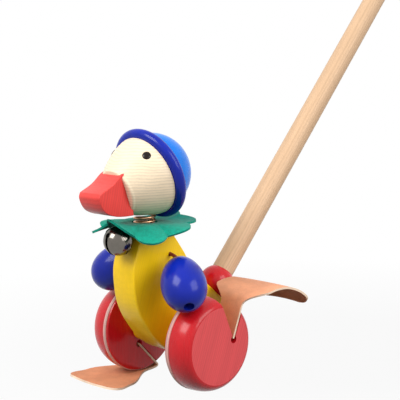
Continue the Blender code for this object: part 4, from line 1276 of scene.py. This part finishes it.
class DUCK_OT_stage(bpy.types.Operator):
    """Lay the pale floor, hang the soft lamps and set the camera"""

    bl_idname = "duck.stage"
    bl_label = "Stage"

    def seen_share(self, nodes):
        """1 for rays that see the background: from the camera, in reflections and through glass."""
        path = nodes.add("ShaderNodeLightPath").outputs
        seen = nodes.sum("MAXIMUM", path["Is Camera Ray"], path["Is Glossy Ray"])
        return nodes.sum("MAXIMUM", seen, path["Is Transmission Ray"])

    def lay_floor(self, context):
        bpy.ops.object.select_all(action="DESELECT")
        bpy.ops.mesh.primitive_circle_add(vertices=96, radius=FLOOR_RADIUS, fill_type="NGON")
        floor = context.object
        floor.name = "floor"
        bpy.ops.object.mode_set(mode="EDIT")
        bpy.ops.mesh.select_all(action="SELECT")
        bpy.ops.mesh.extrude_region_move(TRANSFORM_OT_translate={"value": (0, 0, 0)})
        bpy.ops.transform.resize(value=(FLOOR_SPREAD, FLOOR_SPREAD, 1))
        bpy.ops.object.mode_set(mode="OBJECT")
        material, nodes, shader = start_finish("pale_floor")
        nodes.put(shade(context.scene.duck_colours.floor, 1.0), shader["Base Color"])
        shader["Roughness"].default_value = 0.9
        white = nodes.add("ShaderNodeEmission", {"Color": (1, 1, 1, 1), "Strength": 1.0}).outputs[0]
        source = nodes.add("ShaderNodeTexCoord").outputs["Object"]
        away = nodes.add("ShaderNodeVectorMath", {0: source}, operation="LENGTH").outputs["Value"]
        white_share = nodes.spread(away, FLOOR_WHITENS_FROM, FLOOR_WHITE_AT, FLOOR_WHITE_NEAR, 1.0)
        share = nodes.sum("MULTIPLY", self.seen_share(nodes), white_share)
        tree = material.node_tree
        output = tree.nodes["Material Output"].inputs["Surface"]
        lit = tree.nodes["Principled BSDF"].outputs[0]
        nodes.put(nodes.add("ShaderNodeMixShader", {0: share, 1: lit, 2: white}).outputs[0], output)
        floor.data.materials.append(material)

    def light_world(self, context):
        world = bpy.data.worlds.new("pale_studio")
        context.scene.world = world
        world.use_nodes = True
        nodes = Nodes(world.node_tree)
        sky = world.node_tree.nodes["Background"]
        sky.inputs["Color"].default_value = (1, 1, 1, 1)
        strength = nodes.spread(self.seen_share(nodes), 0.0, 1.0, SKY_ON_THE_DUCK, 1.0)
        nodes.put(strength, sky.inputs["Strength"])

    def hang_lamp(self, name, at, aim, size, watts):
        bpy.ops.object.select_all(action="DESELECT")
        way = Vector(aim) - Vector(at)
        bpy.ops.object.light_add(type="AREA", location=at, rotation=way.to_track_quat("-Z", "Y").to_euler())
        lamp = bpy.context.object
        lamp.name = name
        lamp.data.size = size
        lamp.data.energy = watts

    def execute(self, context):
        scene = context.scene
        scene.view_settings.view_transform = "Standard"
        self.lay_floor(context)
        self.light_world(context)
        aim = place(*LAMP_AIM)
        self.hang_lamp("key_lamp", KEY_LAMP_AT, aim, KEY_LAMP_SIZE, KEY_LAMP_WATTS)
        self.hang_lamp("fill_lamp", FILL_LAMP_AT, aim, FILL_LAMP_SIZE, FILL_LAMP_WATTS)
        bpy.ops.object.camera_add(
            location=AXLE + CAMERA_AT, rotation=(math.pi / 2 - CAMERA_ELEVATION, 0.0, CAMERA_TURN)
        )
        camera = context.object
        camera.name = "photo_camera"
        camera.data.lens = CAMERA_LENS
        camera.data.sensor_width = SENSOR
        scene.camera = camera
        return {"FINISHED"}


OPERATORS = (
    DUCK_OT_body, DUCK_OT_stick, DUCK_OT_wheels, DUCK_OT_feet, DUCK_OT_neck, DUCK_OT_head, DUCK_OT_collar,
    DUCK_OT_bell, DUCK_OT_wings, DUCK_OT_inner_parts, DUCK_OT_stage,
)


class VIEW3D_PT_duck(bpy.types.Panel):
    """Lists the duck's pieces in the order they are made"""

    bl_label = "Push-along duck"
    bl_space_type = "VIEW_3D"
    bl_region_type = "UI"
    bl_category = "Duck"

    def draw(self, context):
        for operator in OPERATORS:
            self.layout.operator(operator.bl_idname)


CLASSES = (DuckSizes, DuckColours, *OPERATORS, VIEW3D_PT_duck)


def register():
    for cls in CLASSES:
        bpy.utils.register_class(cls)
    bpy.types.Scene.duck_sizes = PointerProperty(type=DuckSizes)
    bpy.types.Scene.duck_colours = PointerProperty(type=DuckColours)


def unregister():
    del bpy.types.Scene.duck_colours
    del bpy.types.Scene.duck_sizes
    for cls in reversed(CLASSES):
        bpy.utils.unregister_class(cls)


def main():
    register()
    for operator in OPERATORS:
        group, name = operator.bl_idname.split(".")
        getattr(getattr(bpy.ops, group), name)()


if __name__ == "__main__":
    main()
